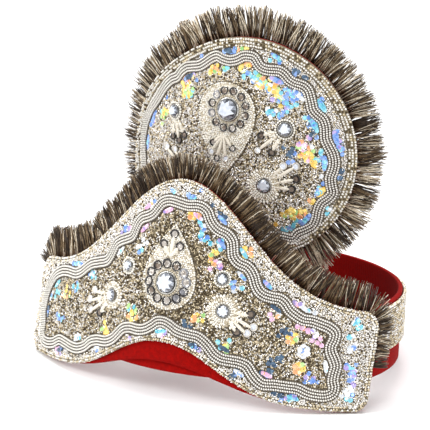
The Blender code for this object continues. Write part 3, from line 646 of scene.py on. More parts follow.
def makeBraid():
    left, right = np.linspace(band["braidFrom"], 180, 700), np.linspace(-180, -band["braidFrom"], 700)
    fine = np.unwrap(np.radians(np.concatenate([left, right[1:]])))
    mid = bandPoints(np.radians(np.concatenate([left, right[1:]])), braid["middle"], layer["gap"])
    run = summed(np.linalg.norm(np.diff(mid, axis=0), axis=1))
    count = int(run[-1] / braid["rowGap"])
    t = np.interp(np.linspace(0.8, run[-1] - 0.8, count), run, fine)
    tape = np.interp(np.linspace(0, run[-1], 200), run, fine)
    low, high = band["braidLow"], band["braidHigh"]
    edges = (low + braid["tapeIn"], high - braid["tapeIn"])
    front = np.stack([bandPoints(tape, z, layer["gap"] + braid["tape"] + braid["out"]) for z in edges], 1)
    back = np.stack([bandPoints(tape, z, layer["gap"]) for z in edges], 1)
    # the tape takes the dark backing finish, painted shade between the rows of beads
    batches = [asIs(gridShape(front, back))]
    axes = bandAxes(t, braid["middle"], layer["gap"] + 0.85)[1]
    for z in np.arange(low + 1.6, high - 1.4, braid["beadGap"]):
        p = bandPoints(t, z, layer["gap"] + 0.75 + braid["out"])
        shade = chance.choice([1, 1, 2, 2, 4], count)
        batches.append(copies(smallBead, p, sized(axes, braid["bead"] * 1.15, braid["bead"], 1.1), shade))
    edgeRun = np.interp(np.arange(0.7, run[-1] - 0.6, braid["edgeGap"]), run, fine)
    for z, off in ((low + 0.7, 0.6), (high - 0.7, 0.6), (low + 0.45, 0.0), (high - 0.45, 0.0)):
        p, axes = bandAxes(edgeRun, z, layer["gap"] + 0.75 + off)
        axes = sized(turned(axes, np.full(len(p), braid["edgeTurn"])), 1.35, 1.1, 1.2)
        batches.append(copies(smallBead, p, axes, chance.choice([1, 2, 4], len(p))))
    sewn("band_bead_braid", batches, [cordShade, brightCut, champagneCut, silverCord, dullShadedCut],
         ["band_braid"])


makeBraid()


# front plate: ground cloth, red felt. The panel's columns lie closer at its ends, for the round corners.
def panel(at, edge, low, high, off, thick, cols=150, rows=36):
    ends = np.array([0, 0.12, 0.5, 1.2, 2.4, 4.2])
    s = np.concatenate([-edge + ends, np.linspace(-edge + 6.5, edge - 6.5, cols), edge - ends[::-1]])
    f = np.linspace(0, 1, rows)
    lo, hi = low(s)[:, None], high(s)[:, None]
    grid = lo + (hi - lo) * f[None, :]
    wide = np.repeat(s[:, None], rows, 1)
    return gridShape(at(wide, grid, off), at(wide, grid, off - thick))


plateGround = sewn("plate_ground_cloth",
                   [asIs(panel(onPlate, plate["half"], plateBottom, plateTop, 0.0, layer["face"]))],
                   [ground], ["plate_face"])
setRight(plateGround)
felt = plate["half"] + 0.02   # a hair past the cloth
plateFelt = sewn("plate_red_felt",
                 [asIs(panel(onPlate, felt, lambda s: redBottom(s * plate["half"] / felt),
                             lambda s: plateTop(s * plate["half"] / felt) + 0.02, feltTop, layer["felt"]))],
                 [redFelt], ["plate_backing"])
setRight(plateFelt)


def discSheet(off, thick, turns=120, rings=16):
    t = np.linspace(0, 2 * math.pi, turns, endpoint=False)
    f = np.linspace(0.0, 1.0, rings + 1)[1:]
    r = discRadius(t)[:, None] * f[None, :]
    s, h = r * np.cos(t)[:, None], r * np.sin(t)[:, None]
    points = np.concatenate([onDisc(s, h, off).reshape(-1, 3), onDisc(s, h, off - thick).reshape(-1, 3),
                             onDisc([0.0], [0.0], off), onDisc([0.0], [0.0], off - thick)])
    base, m = turns * rings, rings
    faces = []
    for i in range(turns):
        j = (i + 1) % turns
        for k in range(m - 1):
            faces += [(i * m + k, i * m + k + 1, j * m + k + 1, j * m + k),
                      (base + j * m + k, base + j * m + k + 1, base + i * m + k + 1, base + i * m + k)]
        faces += [(2 * base, i * m, j * m), (2 * base + 1, base + j * m, base + i * m),
                  (i * m + m - 1, base + i * m + m - 1, base + j * m + m - 1, j * m + m - 1)]
    return handShape(points, faces)


discGround = sewn("disc_ground_cloth", [asIs(discSheet(0.0, layer["face"]))], [ground],
                  ["disc_face"])
setRight(discGround)
discFelt = sewn("disc_red_felt", [asIs(discSheet(feltTop, layer["felt"]))], [redFelt],
                ["disc_backing"])
setRight(discFelt)
print("stage: cloth")

# wavy four-row braid and the rim beads
# listed: on the plate (s, h) along the middle of its loop, on the disc (degrees, mm from the centre)
# where it shows, then (degrees, mm in from the rim) behind the plate
wave = {"rows": (-2.25, -0.75, 0.75, 2.25), "beadGap": 1.18, "bead": (1.12, 1.22, 1.35), "twist": 0.5,
        "tape": (6.2, 0.5), "lift": (0.7, 0.3), "fineness": 8,
        "plate": [
            (-98.5, 10), (-99, 15.5), (-100.5, 21), (-100, 27), (-99, 32), (-96.5, 37), (-92.5, 42),
            (-86, 45.5), (-79, 47), (-71.5, 47.5), (-66, 50), (-62, 53), (-58, 55.5), (-52, 57.5),
            (-46, 59.5), (-43.5, 62), (-41.5, 66), (-40, 69.5), (-36.5, 72), (-32, 74), (-28.5, 76),
            (-27, 80), (-25.5, 83.5), (-23, 86), (-19.5, 87.5), (-16.5, 89.5), (-14, 93), (-11.5, 96),
            (-8, 97.5), (-4.5, 97.5), (-1, 97), (3.5, 96.5), (8, 97), (11, 96.5), (14, 94.5), (16, 91),
            (18.5, 88), (21.5, 86), (25.5, 84.5), (28.5, 81.5), (29.5, 78), (30.5, 74), (33.5, 71),
            (37.5, 69.5), (40, 67.5), (42, 64.5), (43.5, 61), (45.5, 58), (48.5, 56), (52.5, 55),
            (56.5, 54.5), (59.5, 52.5), (62, 49.5), (65.5, 47), (69.5, 45), (74, 44.5), (79, 43),
            (83, 41.5), (86, 39), (86, 35.5), (85, 32.5), (85.5, 29.5), (87.5, 26), (89, 22.5),
            (88.5, 18.5), (88.5, 15), (89.5, 12), (89, 9), (86, 7.5), (81.5, 7.5), (76.5, 8.5),
            (71.5, 10.5), (66, 11), (59.5, 11.5), (54.5, 11.5), (51, 13.5), (48, 16.5), (45, 20),
            (41, 21.5), (36.5, 22), (32, 22.5), (28, 24.5), (25, 27.5), (22, 30), (18.5, 32), (15, 32.5),
            (10.5, 33), (6.5, 34), (2.5, 36), (-1, 37), (-4.5, 36.5), (-7.5, 34), (-11.5, 31.5),
            (-16, 30.5), (-21, 30.5), (-25.5, 29), (-29, 25.5), (-32, 22.5), (-37, 20), (-44, 19),
            (-49.5, 17), (-54, 13.5), (-60, 11), (-66, 10.5), (-72, 11), (-78.5, 11), (-84.5, 8),
            (-91, 6.5), (-96, 7)],
        "disc": [
            (-47.2, 55.9), (-43.2, 55.5), (-39, 57.2), (-34.9, 58.5), (-30.8, 57.6), (-27, 56.1),
            (-22.7, 55.8), (-19.2, 57.7), (-15.8, 58.7), (-12.2, 56.8), (-8.3, 55.6), (-4.6, 56.2),
            (-0.5, 56.5), (4.1, 55.6), (8, 54), (12.1, 52.7), (15.9, 53), (19.6, 53.6), (23.7, 53.5),
            (26.8, 52.1), (30.6, 51.1), (34, 51.9), (37.7, 53.1), (41.6, 54.2), (45, 53.7), (48.9, 51.7),
            (52.6, 51), (56.5, 51.6), (59.7, 51.5), (62.7, 50.1), (66.9, 48.4), (70.6, 48.2),
            (73.6, 49.5), (76.5, 51.4), (79.9, 51.3), (83.2, 50.4), (87, 48.1), (91.8, 47), (96.6, 47.8),
            (100.5, 49.3), (104.9, 48.6), (110.6, 47), (115.5, 46.5), (120.9, 47.8), (125.5, 49.1),
            (130.5, 49.3), (135.8, 48.8), (141, 50.8)],
        "discBehind": [
            (147, 8.2), (153, 9.0), (159, 9.6), (165, 8.9), (171, 8.2), (178, 8.2), (185, 8.5),
            (194, 9.8), (203, 8.2), (214, 10.6), (225, 8.2), (236, 10.6), (247, 8.2), (258, 10.6),
            (269, 8.2), (280, 10.6), (291, 8.2), (302, 10.4), (308, 9.3)]}


def evenly(points, count):
    p = np.vstack([points, points[:1]])
    run = runOf(p)
    return pointsAt(np.linspace(0, run[-1], count + 1)[:-1], run, p)


# A closed curve that eases through every point, moved by the lift: the rows stand off the cloth, so they
# lie a little over from where they seem.
def smoothLoop(points, count):
    p = np.array(points, float) + wave["lift"]
    before, after, beyond = np.roll(p, 1, 0), np.roll(p, -1, 0), np.roll(p, -2, 0)
    bits = []
    for f in np.arange(wave["fineness"]) / wave["fineness"]:
        bits.append(0.5 * (2 * p + (after - before) * f + (2 * before - 5 * p + 4 * after - beyond) * f ** 2
                           + (3 * p - before - 3 * after + beyond) * f ** 3))
    return evenly(np.stack(bits, 1).reshape(-1, 2), count)


shown = [(math.radians(d), r) for d, r in wave["disc"]]
shown += [(math.radians(d), float(discRadius(math.radians(d))) - r) for d, r in wave["discBehind"]]
plateLine = smoothLoop(wave["plate"], 1100)
discLine = smoothLoop([(r * math.cos(a), r * math.sin(a)) for a, r in shown], 800)


def tapeAlong(at, line, wide, off, thick, closed=True):
    left, right = shifted(line, wide / 2, closed), shifted(line, -wide / 2, closed)
    front = np.stack([at(q[:, 0], q[:, 1], off + thick) for q in (left, right)], 1)
    back = np.stack([at(q[:, 0], q[:, 1], off) for q in (left, right)], 1)
    return gridShape(front, back, closedAcross=closed)


def waveBraid(name, at, line, node):
    # the tape takes the dark backing finish, painted shade between the rows of beads
    batches = [asIs(tapeAlong(at, line[::3], wave["tape"][0], layer["gap"], wave["tape"][1]))]
    for by in wave["rows"]:
        batches.append(stringOf(smallBead, at, shifted(line, by), wave["beadGap"], wave["bead"],
                                layer["gap"] + 0.85, slots=1, tilt=wave["twist"]))
    return sewn(name, batches, [cordShade, silverCord], [node])


waveBraid("plate_wave_braid", onPlate, plateLine, "plate_cord")
waveBraid("disc_wave_braid", onDisc, discLine, "disc_cord")

# rims: three rows of beads each, as mm in from the edge, on the plate with how far they stand off the cloth
rim = {"discRows": (0.85, 2.5, 4.15), "discGap": 1.36, "discBead": (1.35, 1.3, 1.25), "discOff": 0.65,
       "tapeIn": 2.6, "tapeWide": 4.4, "tapeThick": 0.4,
       "plateRows": ((0.3, -0.5), (0.75, 0.35), (2.0, 0.35)), "plateGap": 1.38, "plateBead": (1.3, 1.2, 1.15),
       "astray": 0.1, "uneven": 0.2, "turn": 0.4}


# One row of beads sewn by hand, so none sits quite in line.
def roughRow(at, line, gap, size, off, slots):
    spots, angle = along(line, gap)
    spots = spots + chance.normal(0, rim["astray"], spots.shape)
    count = len(spots)
    return laid(smallBead, at, spots[:, 0], spots[:, 1], off + rim["uneven"] * chance.random(count),
                angle + rim["turn"], size, chance.choice(slots, count))


turn = np.linspace(0, 2 * math.pi, 900, endpoint=False)
# the tape under the disc rim's rows takes the dull finish, painted shade in the gaps between them
rimBatches = [asIs(tapeAlong(onDisc, discRing(turn, rim["tapeIn"])[::4], rim["tapeWide"], layer["gap"],
                             rim["tapeThick"]))]
for by in rim["discRows"]:
    rimBatches.append(roughRow(onDisc, discRing(turn, by), rim["discGap"], rim["discBead"],
                               layer["gap"] + rim["discOff"], [1, 1, 1, 1, 2, 3]))
sewn("disc_rim_cord", rimBatches, [dullShadedCut, silverCord, champagneCut, darkShadedCut],
     ["disc_edge_cord"])


def plateOutline(inward):
    s = np.linspace(-plate["half"], plate["half"], 400)
    s = plate["half"] * np.sin(s / plate["half"] * math.pi / 2)
    ring = np.vstack([np.stack([s, plateBottom(s)], 1), np.stack([s, plateTop(s)], 1)[::-1]])
    return evenly(shifted(evenly(ring, 1200), inward), 900)


rimBatches = []
for by, off in rim["plateRows"]:
    rimBatches.append(roughRow(onPlate, plateOutline(by), rim["plateGap"], rim["plateBead"], off,
                               [0, 0, 1, 1, 2, 3]))
sewn("plate_rim_beads", rimBatches, [silverCord, champagneCut, brightCut, dullShadedCut])
print("stage: cords")

# raised teardrops with their stones, sequins and petals
plateDrop = {"centre": (-1.0, 57.8), "length": 43.0, "width": 14.9, "up": 1}
discDrop = {"centre": (-0.8, 19.9), "length": 48.5, "width": 16.1, "up": -1}
# the pad's shells as (share of the outline, height), the beads' spacing, size and heights over the cloth
pad = {"shells": ((0.97, 0.0), (0.97, 0.5), (0.94, 0.8), (0.8, 0.95), (0.4, 1.0)), "top": 1.0,
       "edgeIn": 0.35, "edgeGap": 1.25, "edgeBead": (1.3, 1.2, 1.2), "edgeAstray": 0.12,
       "grid": (1.15, 1.0, 0.6), "bead": (1.2, 1.1, 1.15), "astray": 0.16, "clear": 1.2}


def dropLine(drop, count=240):
    t = np.linspace(0, 2 * math.pi, count, endpoint=False)
    a = drop["width"] * np.sin(t) * np.sin(t / 2) / 0.77
    b = drop["length"] * (0.5 * np.cos(t) - 0.5 + 2 / 3) * drop["up"]
    return evenly(np.stack([a, b], 1), count)


def dropAt(drop):
    return dropLine(drop) + np.array(drop["centre"])


# Which points lie inside a closed line.
def inLoop(points, line):
    x, y = points[:, 0], points[:, 1]
    inside = np.zeros(len(points), bool)
    for (xi, yi), (xj, yj) in zip(line, np.roll(line, 1, 0)):
        hit = (yi > y) != (yj > y)
        with np.errstate(divide="ignore", invalid="ignore"):
            inside ^= hit & (x < (xj - xi) * (y - yi) / (yj - yi) + xi)
    return inside


def area(line):
    x, y = line[:, 0], line[:, 1]
    return 0.5 * float(np.sum(x * np.roll(y, -1) - np.roll(x, -1) * y))


# A low domed pad under a close cover of ivory seed beads, with one row of them along its edge.
def dropPad(name, at, drop, node):
    line = dropLine(drop, count=96)
    cs, ch = drop["centre"]
    points = [at(cs + line[:, 0] * f, ch + line[:, 1] * f, np.full(len(line), layer["gap"] + o))
              for f, o in pad["shells"]]
    points += [at([cs], [ch], layer["gap"] + pad["top"]), at([cs], [ch], layer["gap"])]
    n, m = len(line), len(pad["shells"])
    faces = [(i * n + k, i * n + (k + 1) % n, (i + 1) * n + (k + 1) % n, (i + 1) * n + k)
             for i in range(m - 1) for k in range(n)]
    faces += [((m - 1) * n + k, (m - 1) * n + (k + 1) % n, m * n) for k in range(n)]
    faces += [((k + 1) % n, k, m * n + 1) for k in range(n)]
    batches = [asIs(handShape(np.concatenate(points), faces))]
    full = dropAt(drop)
    inwards = -1 if area(full) < 0 else 1
    spots, angle = along(shifted(full, pad["edgeIn"] * inwards), pad["edgeGap"])
    spots = spots + chance.normal(0, pad["edgeAstray"], spots.shape)
    batches.append(laid(smallBead, at, spots[:, 0], spots[:, 1],
                        layer["gap"] + 0.85 + 0.25 * chance.random(len(spots)), angle, pad["edgeBead"],
                        chance.choice([1, 1, 1, 2], len(spots))))
    gx, gy = np.arange(-20, 20, pad["grid"][0]), np.arange(-40, 40, pad["grid"][1])
    px, py = np.meshgrid(gx, gy)
    px = px + np.where(np.arange(len(gy)) % 2, pad["grid"][2], 0.0)[:, None]
    spots = np.stack([px.ravel(), py.ravel()], 1) + np.array(drop["centre"])
    spots = spots[inLoop(spots, full)]
    spots = spots[cutGap(spots, full) > pad["clear"]]
    spots += chance.normal(0, pad["astray"], spots.shape)
    batches.append(laid(smallBead, at, spots[:, 0], spots[:, 1],
                        layer["gap"] + 1.15 + 0.2 * chance.random(len(spots)), chance.random(len(spots)) * 6,
                        pad["bead"], chance.choice([1, 1, 1, 1, 1, 2, 3], len(spots))))
    piece = sewn(name, batches, [padCloth, ivoryBead, pearlBead, brightCut], [node])
    return piece


dropPad("plate_drop_beads", onPlate, plateDrop, "plate_teardrop")
dropPad("disc_drop_beads", onDisc, discDrop, "disc_teardrop")


def ringAt(centre, r, t):
    return centre[0] + r * np.cos(t), centre[1] + r * np.sin(t)


# Cup sequins in a ring that may be stretched sideways; middles gives the first material slot of each.
def bigRing(name, at, centre, radius, count, size, node, start, middles, stretch=1.0):
    t = start + 2 * math.pi * np.arange(count) / count
    s, h = ringAt(centre, radius, t)
    s, h = centre[0] + (s - centre[0]) * stretch, centre[1] + (h - centre[1]) / stretch ** 0.5
    p, axes = axesAt(at, s, h, padTop + layer["gap"] + 0.15)
    axes = tipped(axes, 0.10)
    pick = chance.permutation(np.resize(middles, count))
    sewn(name, [copies(sequin, p, sized(turned(axes, t), size, size, size), pick)],
         [sequinRimAndShade, sequinMiddle, sequinRimAndShade, sequinBrown, sequinGrey, sequinMiddle, sequinRimAndShade, sequinGrey],
         [node])


bigRing("plate_cup_sequins", onPlate, (-1.0, 57.3), 9.8, 12, 5.1, "plate_sequin_ring", 0.13, [0, 2, 4, 0, 6],
        1.09)
bigRing("disc_cup_sequins", onDisc, (0.8, 22.5), 9.9, 12, 4.4, "disc_sequin_ring", 0.3, [2, 2, 0, 2, 4])


def beadRing(at, centre, radius, gap, size, off, slot):
    t = np.linspace(0, 2 * math.pi, 90, endpoint=False)
    return stringOf(bead, at, np.stack(ringAt(centre, radius, t), 1), gap, size, off, slots=slot)


def bigStone(at, centre, radius, cupName, cupNode, stoneName, stoneNode, spin):
    low = padTop + layer["gap"]
    p, axes = axesAt(at, [centre[0]], [centre[1]], low)
    wide = (radius + 1.0) * 2
    setting = copies(cup, p, sized(axes, wide, wide, wide * 0.62))
    ring = beadRing(at, centre, radius + 1.5, 1.3, (1.25, 1.15, 1.05), low + 0.55, 1)
    sewn(cupName, [setting, ring], [plated, pearlBead], [cupNode])
    cut = laid(stone if at is onPlate else dimStone, at, [centre[0]], [centre[1]], low + 0.75,
               np.array([spin]), (radius,))
    sewn(stoneName, [cut], [stoneWhite, stoneGreyReflection, stoneDarkReflection], [stoneNode])


bigStone(onPlate, (-1.0, 56.9), 5.0, "plate_big_cup", "plate_stone_setting", "plate_cut_stone",
         "plate_stone", 0.2)
bigStone(onDisc, (0.8, 22.5), 5.4, "disc_big_cup", "disc_stone_setting", "disc_cut_stone",
         "disc_stone", 0.5)


# Cup sequins where the lobes of a fan end. whites are the ones under a clear sequin, and first is the
# material slot of the cream thread.
def fanSequins(at, base, angle, long, size, off, whites, first=0):
    p, axes = axesAt(at, *ringAt(base, long, angle), off + 0.35)
    axes = tipped(turned(axes, angle), 0.12)
    slots = first + np.array([3 if i in whites else 1 for i in range(len(angle))])
    return copies(sequin, p, sized(axes, size), slots)


# Lobes are given as (direction, length) in degrees and mm.
def fanOf(lobes):
    return np.radians([float(q[0]) for q in lobes]), np.array([q[1] for q in lobes], float)


# Thread petals on a teardrop, from a point, each ending under a cup sequin.
def dropPetals(name, at, base, lobes, size, node, fat, whites=()):
    angle, long = fanOf(lobes)
    off = padTop + layer["gap"]
    wound = laid(petal, at, np.full(len(long), base[0]), np.full(len(long), base[1]), off + 0.5, angle,
                 (long - size * 0.3, fat, 1.9))
    sewn(name, [wound, fanSequins(at, base, angle, long, size, off, whites)],
         [creamThread, sequinRimAndShade, sequinMiddle, sequinClear, stoneWhite], [node])


dropPetals("plate_petals", onPlate, (-1.0, 69.9), ((54, 7.6), (88, 12.0), (128, 7.8)), 4.7,
           "plate_petal_fan", 3.1)
dropPetals("disc_petals", onDisc, (-0.8, 9.6),
           ((-140, 8.0), (-124, 12.0), (-104, 13.4), (-82, 12.6), (-52, 8.6)), 3.6, "disc_petal_fan", 2.4,
           whites=(1, 3))
print("stage: teardrops")

# smaller motifs: a stone in a ring of beads. round is the stretch in degrees with rows of beads outside the
# ring, as far out as rows says; fan has its petals, and whites are the ones that end in a clear sequin
motifs = [
    {"name": "plate_small_left", "node": "plate_small_stone_left", "at": onPlate, "centre": (-27.1, 61.0),
     "stone": 2.5, "ring": 3.9, "fan": (), "round": None},
    {"name": "plate_small_right", "node": "plate_small_stone_right", "at": onPlate, "centre": (27.4, 62.5),
     "stone": 2.6, "ring": 3.9, "fan": (), "round": None},
    {"name": "plate_bloom_left", "node": "plate_flower_left", "at": onPlate, "centre": (-36.1, 44.0),
     "stone": 3.0, "ring": 4.3, "fan": ((182, 15.0), (198, 19.0), (214, 19.5), (232, 14.0)),
     "whites": (0, 1, 2), "round": (-150, 165), "rows": (1.0,)},
    {"name": "plate_bloom_right", "node": "plate_flower_right", "at": onPlate, "centre": (30.0, 46.5),
     "stone": 3.0, "ring": 4.3, "fan": ((-50, 13.0), (-36, 16.8), (-22, 17.6), (-2, 14.2)), "whites": (1, 2),
     "round": (20, 290), "rows": (0.95, 1.75, 2.5)},
    {"name": "disc_small_left", "node": "disc_small_stone_left", "at": onDisc, "centre": (-34.5, 16.5),
     "stone": 3.0, "ring": 4.4, "fan": ((-92, 13.5), (-74, 15.5), (-56, 14.0)), "round": None},
    {"name": "disc_small_right", "node": "disc_small_stone_right", "at": onDisc, "centre": (31.2, 15.4),
     "stone": 3.3, "ring": 4.9, "fan": ((-160, 13.0), (-138, 18.0), (-116, 14.0)), "whites": (1,),
     "round": None},
    {"name": "disc_bloom_right", "node": "disc_flower_right", "at": onDisc, "centre": (22.2, -14.5),
     "stone": 3.3, "ring": 4.6, "fan": ((-2, 14.5), (17, 17.0), (36, 19.5), (50, 14.5)), "whites": (2, 3),
     "round": (60, 345), "rows": (0.95, 1.75, 2.5)},
    {"name": "disc_bloom_left", "node": "disc_flower_left", "at": onDisc, "centre": (-23.5, -14.5),
     "stone": 3.3, "ring": 4.6, "fan": ((130, 14.5), (144, 19.5), (163, 17.0), (182, 14.5)),
     "whites": (0, 1, 2, 3), "round": (-165, 120), "rows": (0.95, 1.75, 2.5)},
]
# slots: 0 thread, 1 setting, 2 to 4 stone, 5 and 10 beads, 6 and 7 dark sequins, 8 and 9 clear ones
motifFinishes = [creamThread, plated, stoneWhite, stoneGreyReflection, stoneDarkReflection, ivoryBead, sequinRimAndShade, sequinBrown,
                 sequinClear, stoneWhite, pearlBead]
motifBead = {"bead": (1.15, 1.05, 1.1), "outer": (1.8, 1.6, 1.5), "gap": 1.15, "outerGap": 1.7, "spray": 90}


# Rows of beads round a motif's ring, the last of larger ones, on a round backing.
def bloomRows(m, at, centre, low):
    a, b = m["round"]
    batches = []
    for k, grow in enumerate(m["rows"]):
        r = m["ring"] + grow
        t = np.radians(np.arange(a, b, math.degrees(motifBead["gap"] / r))) + 0.05 * chance.normal(0, 1)
        wide = r + chance.normal(0, 0.14, len(t))
        batches.append(laid(smallBead, at, *ringAt(centre, wide, t),
                            low + 0.55 - 0.09 * k + 0.2 * chance.random(len(t)), t, motifBead["bead"],
                            chance.choice([5, 5, 5, 10], len(t))))
    r = m["ring"] + m["rows"][-1] + 1.1
    t = np.radians(np.arange(a, b, math.degrees(motifBead["outerGap"] / r)))
    wide = r + chance.normal(0, 0.12, len(t))
    batches.append(laid(smallBead, at, *ringAt(centre, wide, t), low + 0.25, t, motifBead["outer"],
                        chance.choice([5, 5, 5, 10], len(t))))
    p, axes = axesAt(at, [centre[0]], [centre[1]], low - 0.15)
    batches.append(copies(flake, p, sized(axes, 2 * r, 2 * r, 5.0), 10))
    return batches


# Wound petals that end under sequins, with a spray of beads among them.
def motifFan(m, at, centre, low):
    angle, long = fanOf(m["fan"])
    ends = fanSequins(at, centre, angle, long, 4.2 if m["round"] else 3.6, low + 0.1, m.get("whites", ()), 5)
    wound = laid(petal, at, *ringAt(centre, m["ring"], angle), low + 0.4, angle,
                 (long - m["ring"] - 1.2, 2.5, 1.9))
    count = motifBead["spray"]
    deg = chance.choice([q[0] for q in m["fan"]], count)
    t = np.radians(deg + chance.normal(0, 6, count))
    r = m["ring"] + 0.8 + (long.min() - m["ring"] - 2.6) * chance.random(count)
    spray = laid(smallBead, at, *ringAt(centre, r, t), low + 0.35 + 0.3 * chance.random(count), t,
                 motifBead["bead"], chance.choice([5, 5, 10], count))
    return [wound, ends, spray]


def motifPiece(m):
    at, centre = m["at"], m["centre"]
    low = layer["gap"] + 0.3
    p, axes = axesAt(at, [centre[0]], [centre[1]], low)
    wide = (m["stone"] + 0.7) * 2
    batches = [copies(cup, p, sized(axes, wide, wide, wide * 0.7), 1)]
    p, axes = axesAt(at, [centre[0]], [centre[1]], low + 0.95)
    axes = sized(turned(tipped(axes, 0.1), np.array([0.3])), m["stone"])
    batches.append(copies(stone if at is onPlate else dimStone, p, axes, 2))
    batches.append(beadRing(at, centre, m["ring"], 1.35, (1.3, 1.2, 1.15), low + 0.5, 5))
    if m["round"]:
        batches += bloomRows(m, at, centre, low)
    if m["fan"]:
        batches += motifFan(m, at, centre, low)
    sewn(m["name"], batches, motifFinishes, [m["node"]])


for m in motifs:
    motifPiece(m)
print("stage: motifs")

# holographic flakes: (s, h, colour) of each cluster
plateFoil = [
    (-18.5, 93, "w"), (-4, 102, "w"), (6, 101.5, "b"), (-33, 77.5, "p"), (-21, 72.5, "w"),
    (-72, 52.5, "w"), (-56, 51, "c"), (-87.5, 35.5, "c"), (-69, 42, "c"), (-79, 36, "y"),
    (-80.5, 23, "b"), (-62, 17, "w"), (-77, 5.5, "p"), (-38, 26, "y"), (-23.5, 25.5, "b"), (-21, 40, "g"),
    (-21, 35.5, "y"), (-44, 16, "w"), (-1, 33, "r"), (11, 37, "n"), (17, 41.5, "y"), (20.5, 27.5, "b"),
    (16.5, 28.5, "c"), (8.5, 92, "y"), (12, 88.5, "c"), (14.5, 81.5, "c"), (19.5, 94, "n"), (23, 81, "c"),
    (20.5, 72.5, "y"), (24.5, 69, "r"), (32.5, 60.5, "c"), (37, 77, "y"), (55.5, 49, "r"),
    (66.5, 51, "r"), (79, 47.5, "w"), (73.5, 40.5, "r"), (62.5, 38.5, "n"), (66, 35.5, "Y"),
    (72.5, 29.5, "W"), (78, 35, "r"), (71.5, 21, "Y"), (77.5, 16, "b"), (60.5, 24, "n"), (33, 28.5, "g"),
    (55, 18, "n"), (39, 16, "n"), (68.5, 7, "b"), (61, 8, "n"), (97, 23, "b"), (97, 44.5, "c"),
    (97, 9, "w"), (96.5, 33.5, "w"), (82, 8, "w"), (99, 16, "b")]
discFoil = [
    (-16, 47.5, "b"), (-34.5, 39, "p"), (-0.5, 52, "b"), (5.5, 53.5, "y"), (-11.5, 42, "y"),
    (-2, 45, "g"), (8, 46.5, "y"), (12, 41, "c"), (22, 50.5, "c"), (35, 43.5, "n"), (48, 29.5, "n"),
    (56, 12.5, "n"), (46, 17.5, "n"), (23.5, 41.5, "g"), (17.5, 38, "y"), (-27, 31.5, "y"),
    (-27.5, 35, "p"), (-26.5, 26.5, "g"), (-42.5, 26, "b"), (-53.5, 13, "b"), (-44.5, 12, "g"),
    (25, 34, "y"), (31.5, 34.5, "c"), (29.5, 28, "b"), (37.5, 32.5, "b"), (23.5, 23.5, "w"),
    (43.5, 21, "c"), (41.5, 5.5, "y"), (34.5, 3.5, "n"), (44.5, 2.5, "y"), (51.5, 2, "c"),
    (51, -14.5, "c"), (49.5, -18, "y"), (36.5, -28, "y"), (41.5, -28, "y"), (37, -34.5, "c"),
    (55.5, -23, "c"), (59.5, -8, "n"), (58.5, 8.5, "b"), (41.5, -42, "w"), (20, 35.5, "c"),
    (33.5, 30.5, "c"), (42, 9.5, "r")]
mixes = {"c": "cccbw", "b": "bbbcp", "p": "ppbr", "r": "rrwpo", "y": "yyyog", "g": "ggyc", "w": "wwwbc",
         "n": "nnnbn", "o": "ooy"}


# how the flakes of each face are spread: how many in a cluster, their reach along and across it, and the
# length and width of a lens in the wavy braid's hollows, with the colours it may have
plateScatter = {"count": 8, "reach": (2.2, 1.5), "leaf": (6.8, 2.4), "leafCodes": "wwwrrcbn"}
discScatter = {"count": 12, "reach": (2.8, 1.8), "leaf": (8.4, 3.0), "leafCodes": "nbcwbn"}
foil = {"flake": 2.4, "bigFlake": 3.0, "vary": 0.6, "rosette": 2.1, "clusterClear": 3.7, "leafClear": 3.9,
        "leafShare": 0.85, "turnAt": 0.12}


# Every place where the wavy braid turns sharpest, as the middle of the hollow and the direction of the line.
def hollowsOf(line):
    ahead, back = np.roll(line, -12, 0) - line, line - np.roll(line, 12, 0)
    bendAt = np.arctan2(back[:, 0] * ahead[:, 1] - back[:, 1] * ahead[:, 0], (ahead * back).sum(1))
    found = []
    for i in range(len(line)):
        near = bendAt[np.arange(i - 14, i + 15) % len(line)]
        if abs(bendAt[i]) > foil["turnAt"] and abs(bendAt[i]) == np.abs(near).max():
            t = unit(ahead[i] + back[i])
            found.append((line[i] + np.array([-t[1], t[0]]) * np.sign(bendAt[i]) * 5.0, t))
    return found


def foilPick(code, pts):
    return np.array([foilIndex[mixes[code][chance.integers(len(mixes[code]))]] for _ in pts])


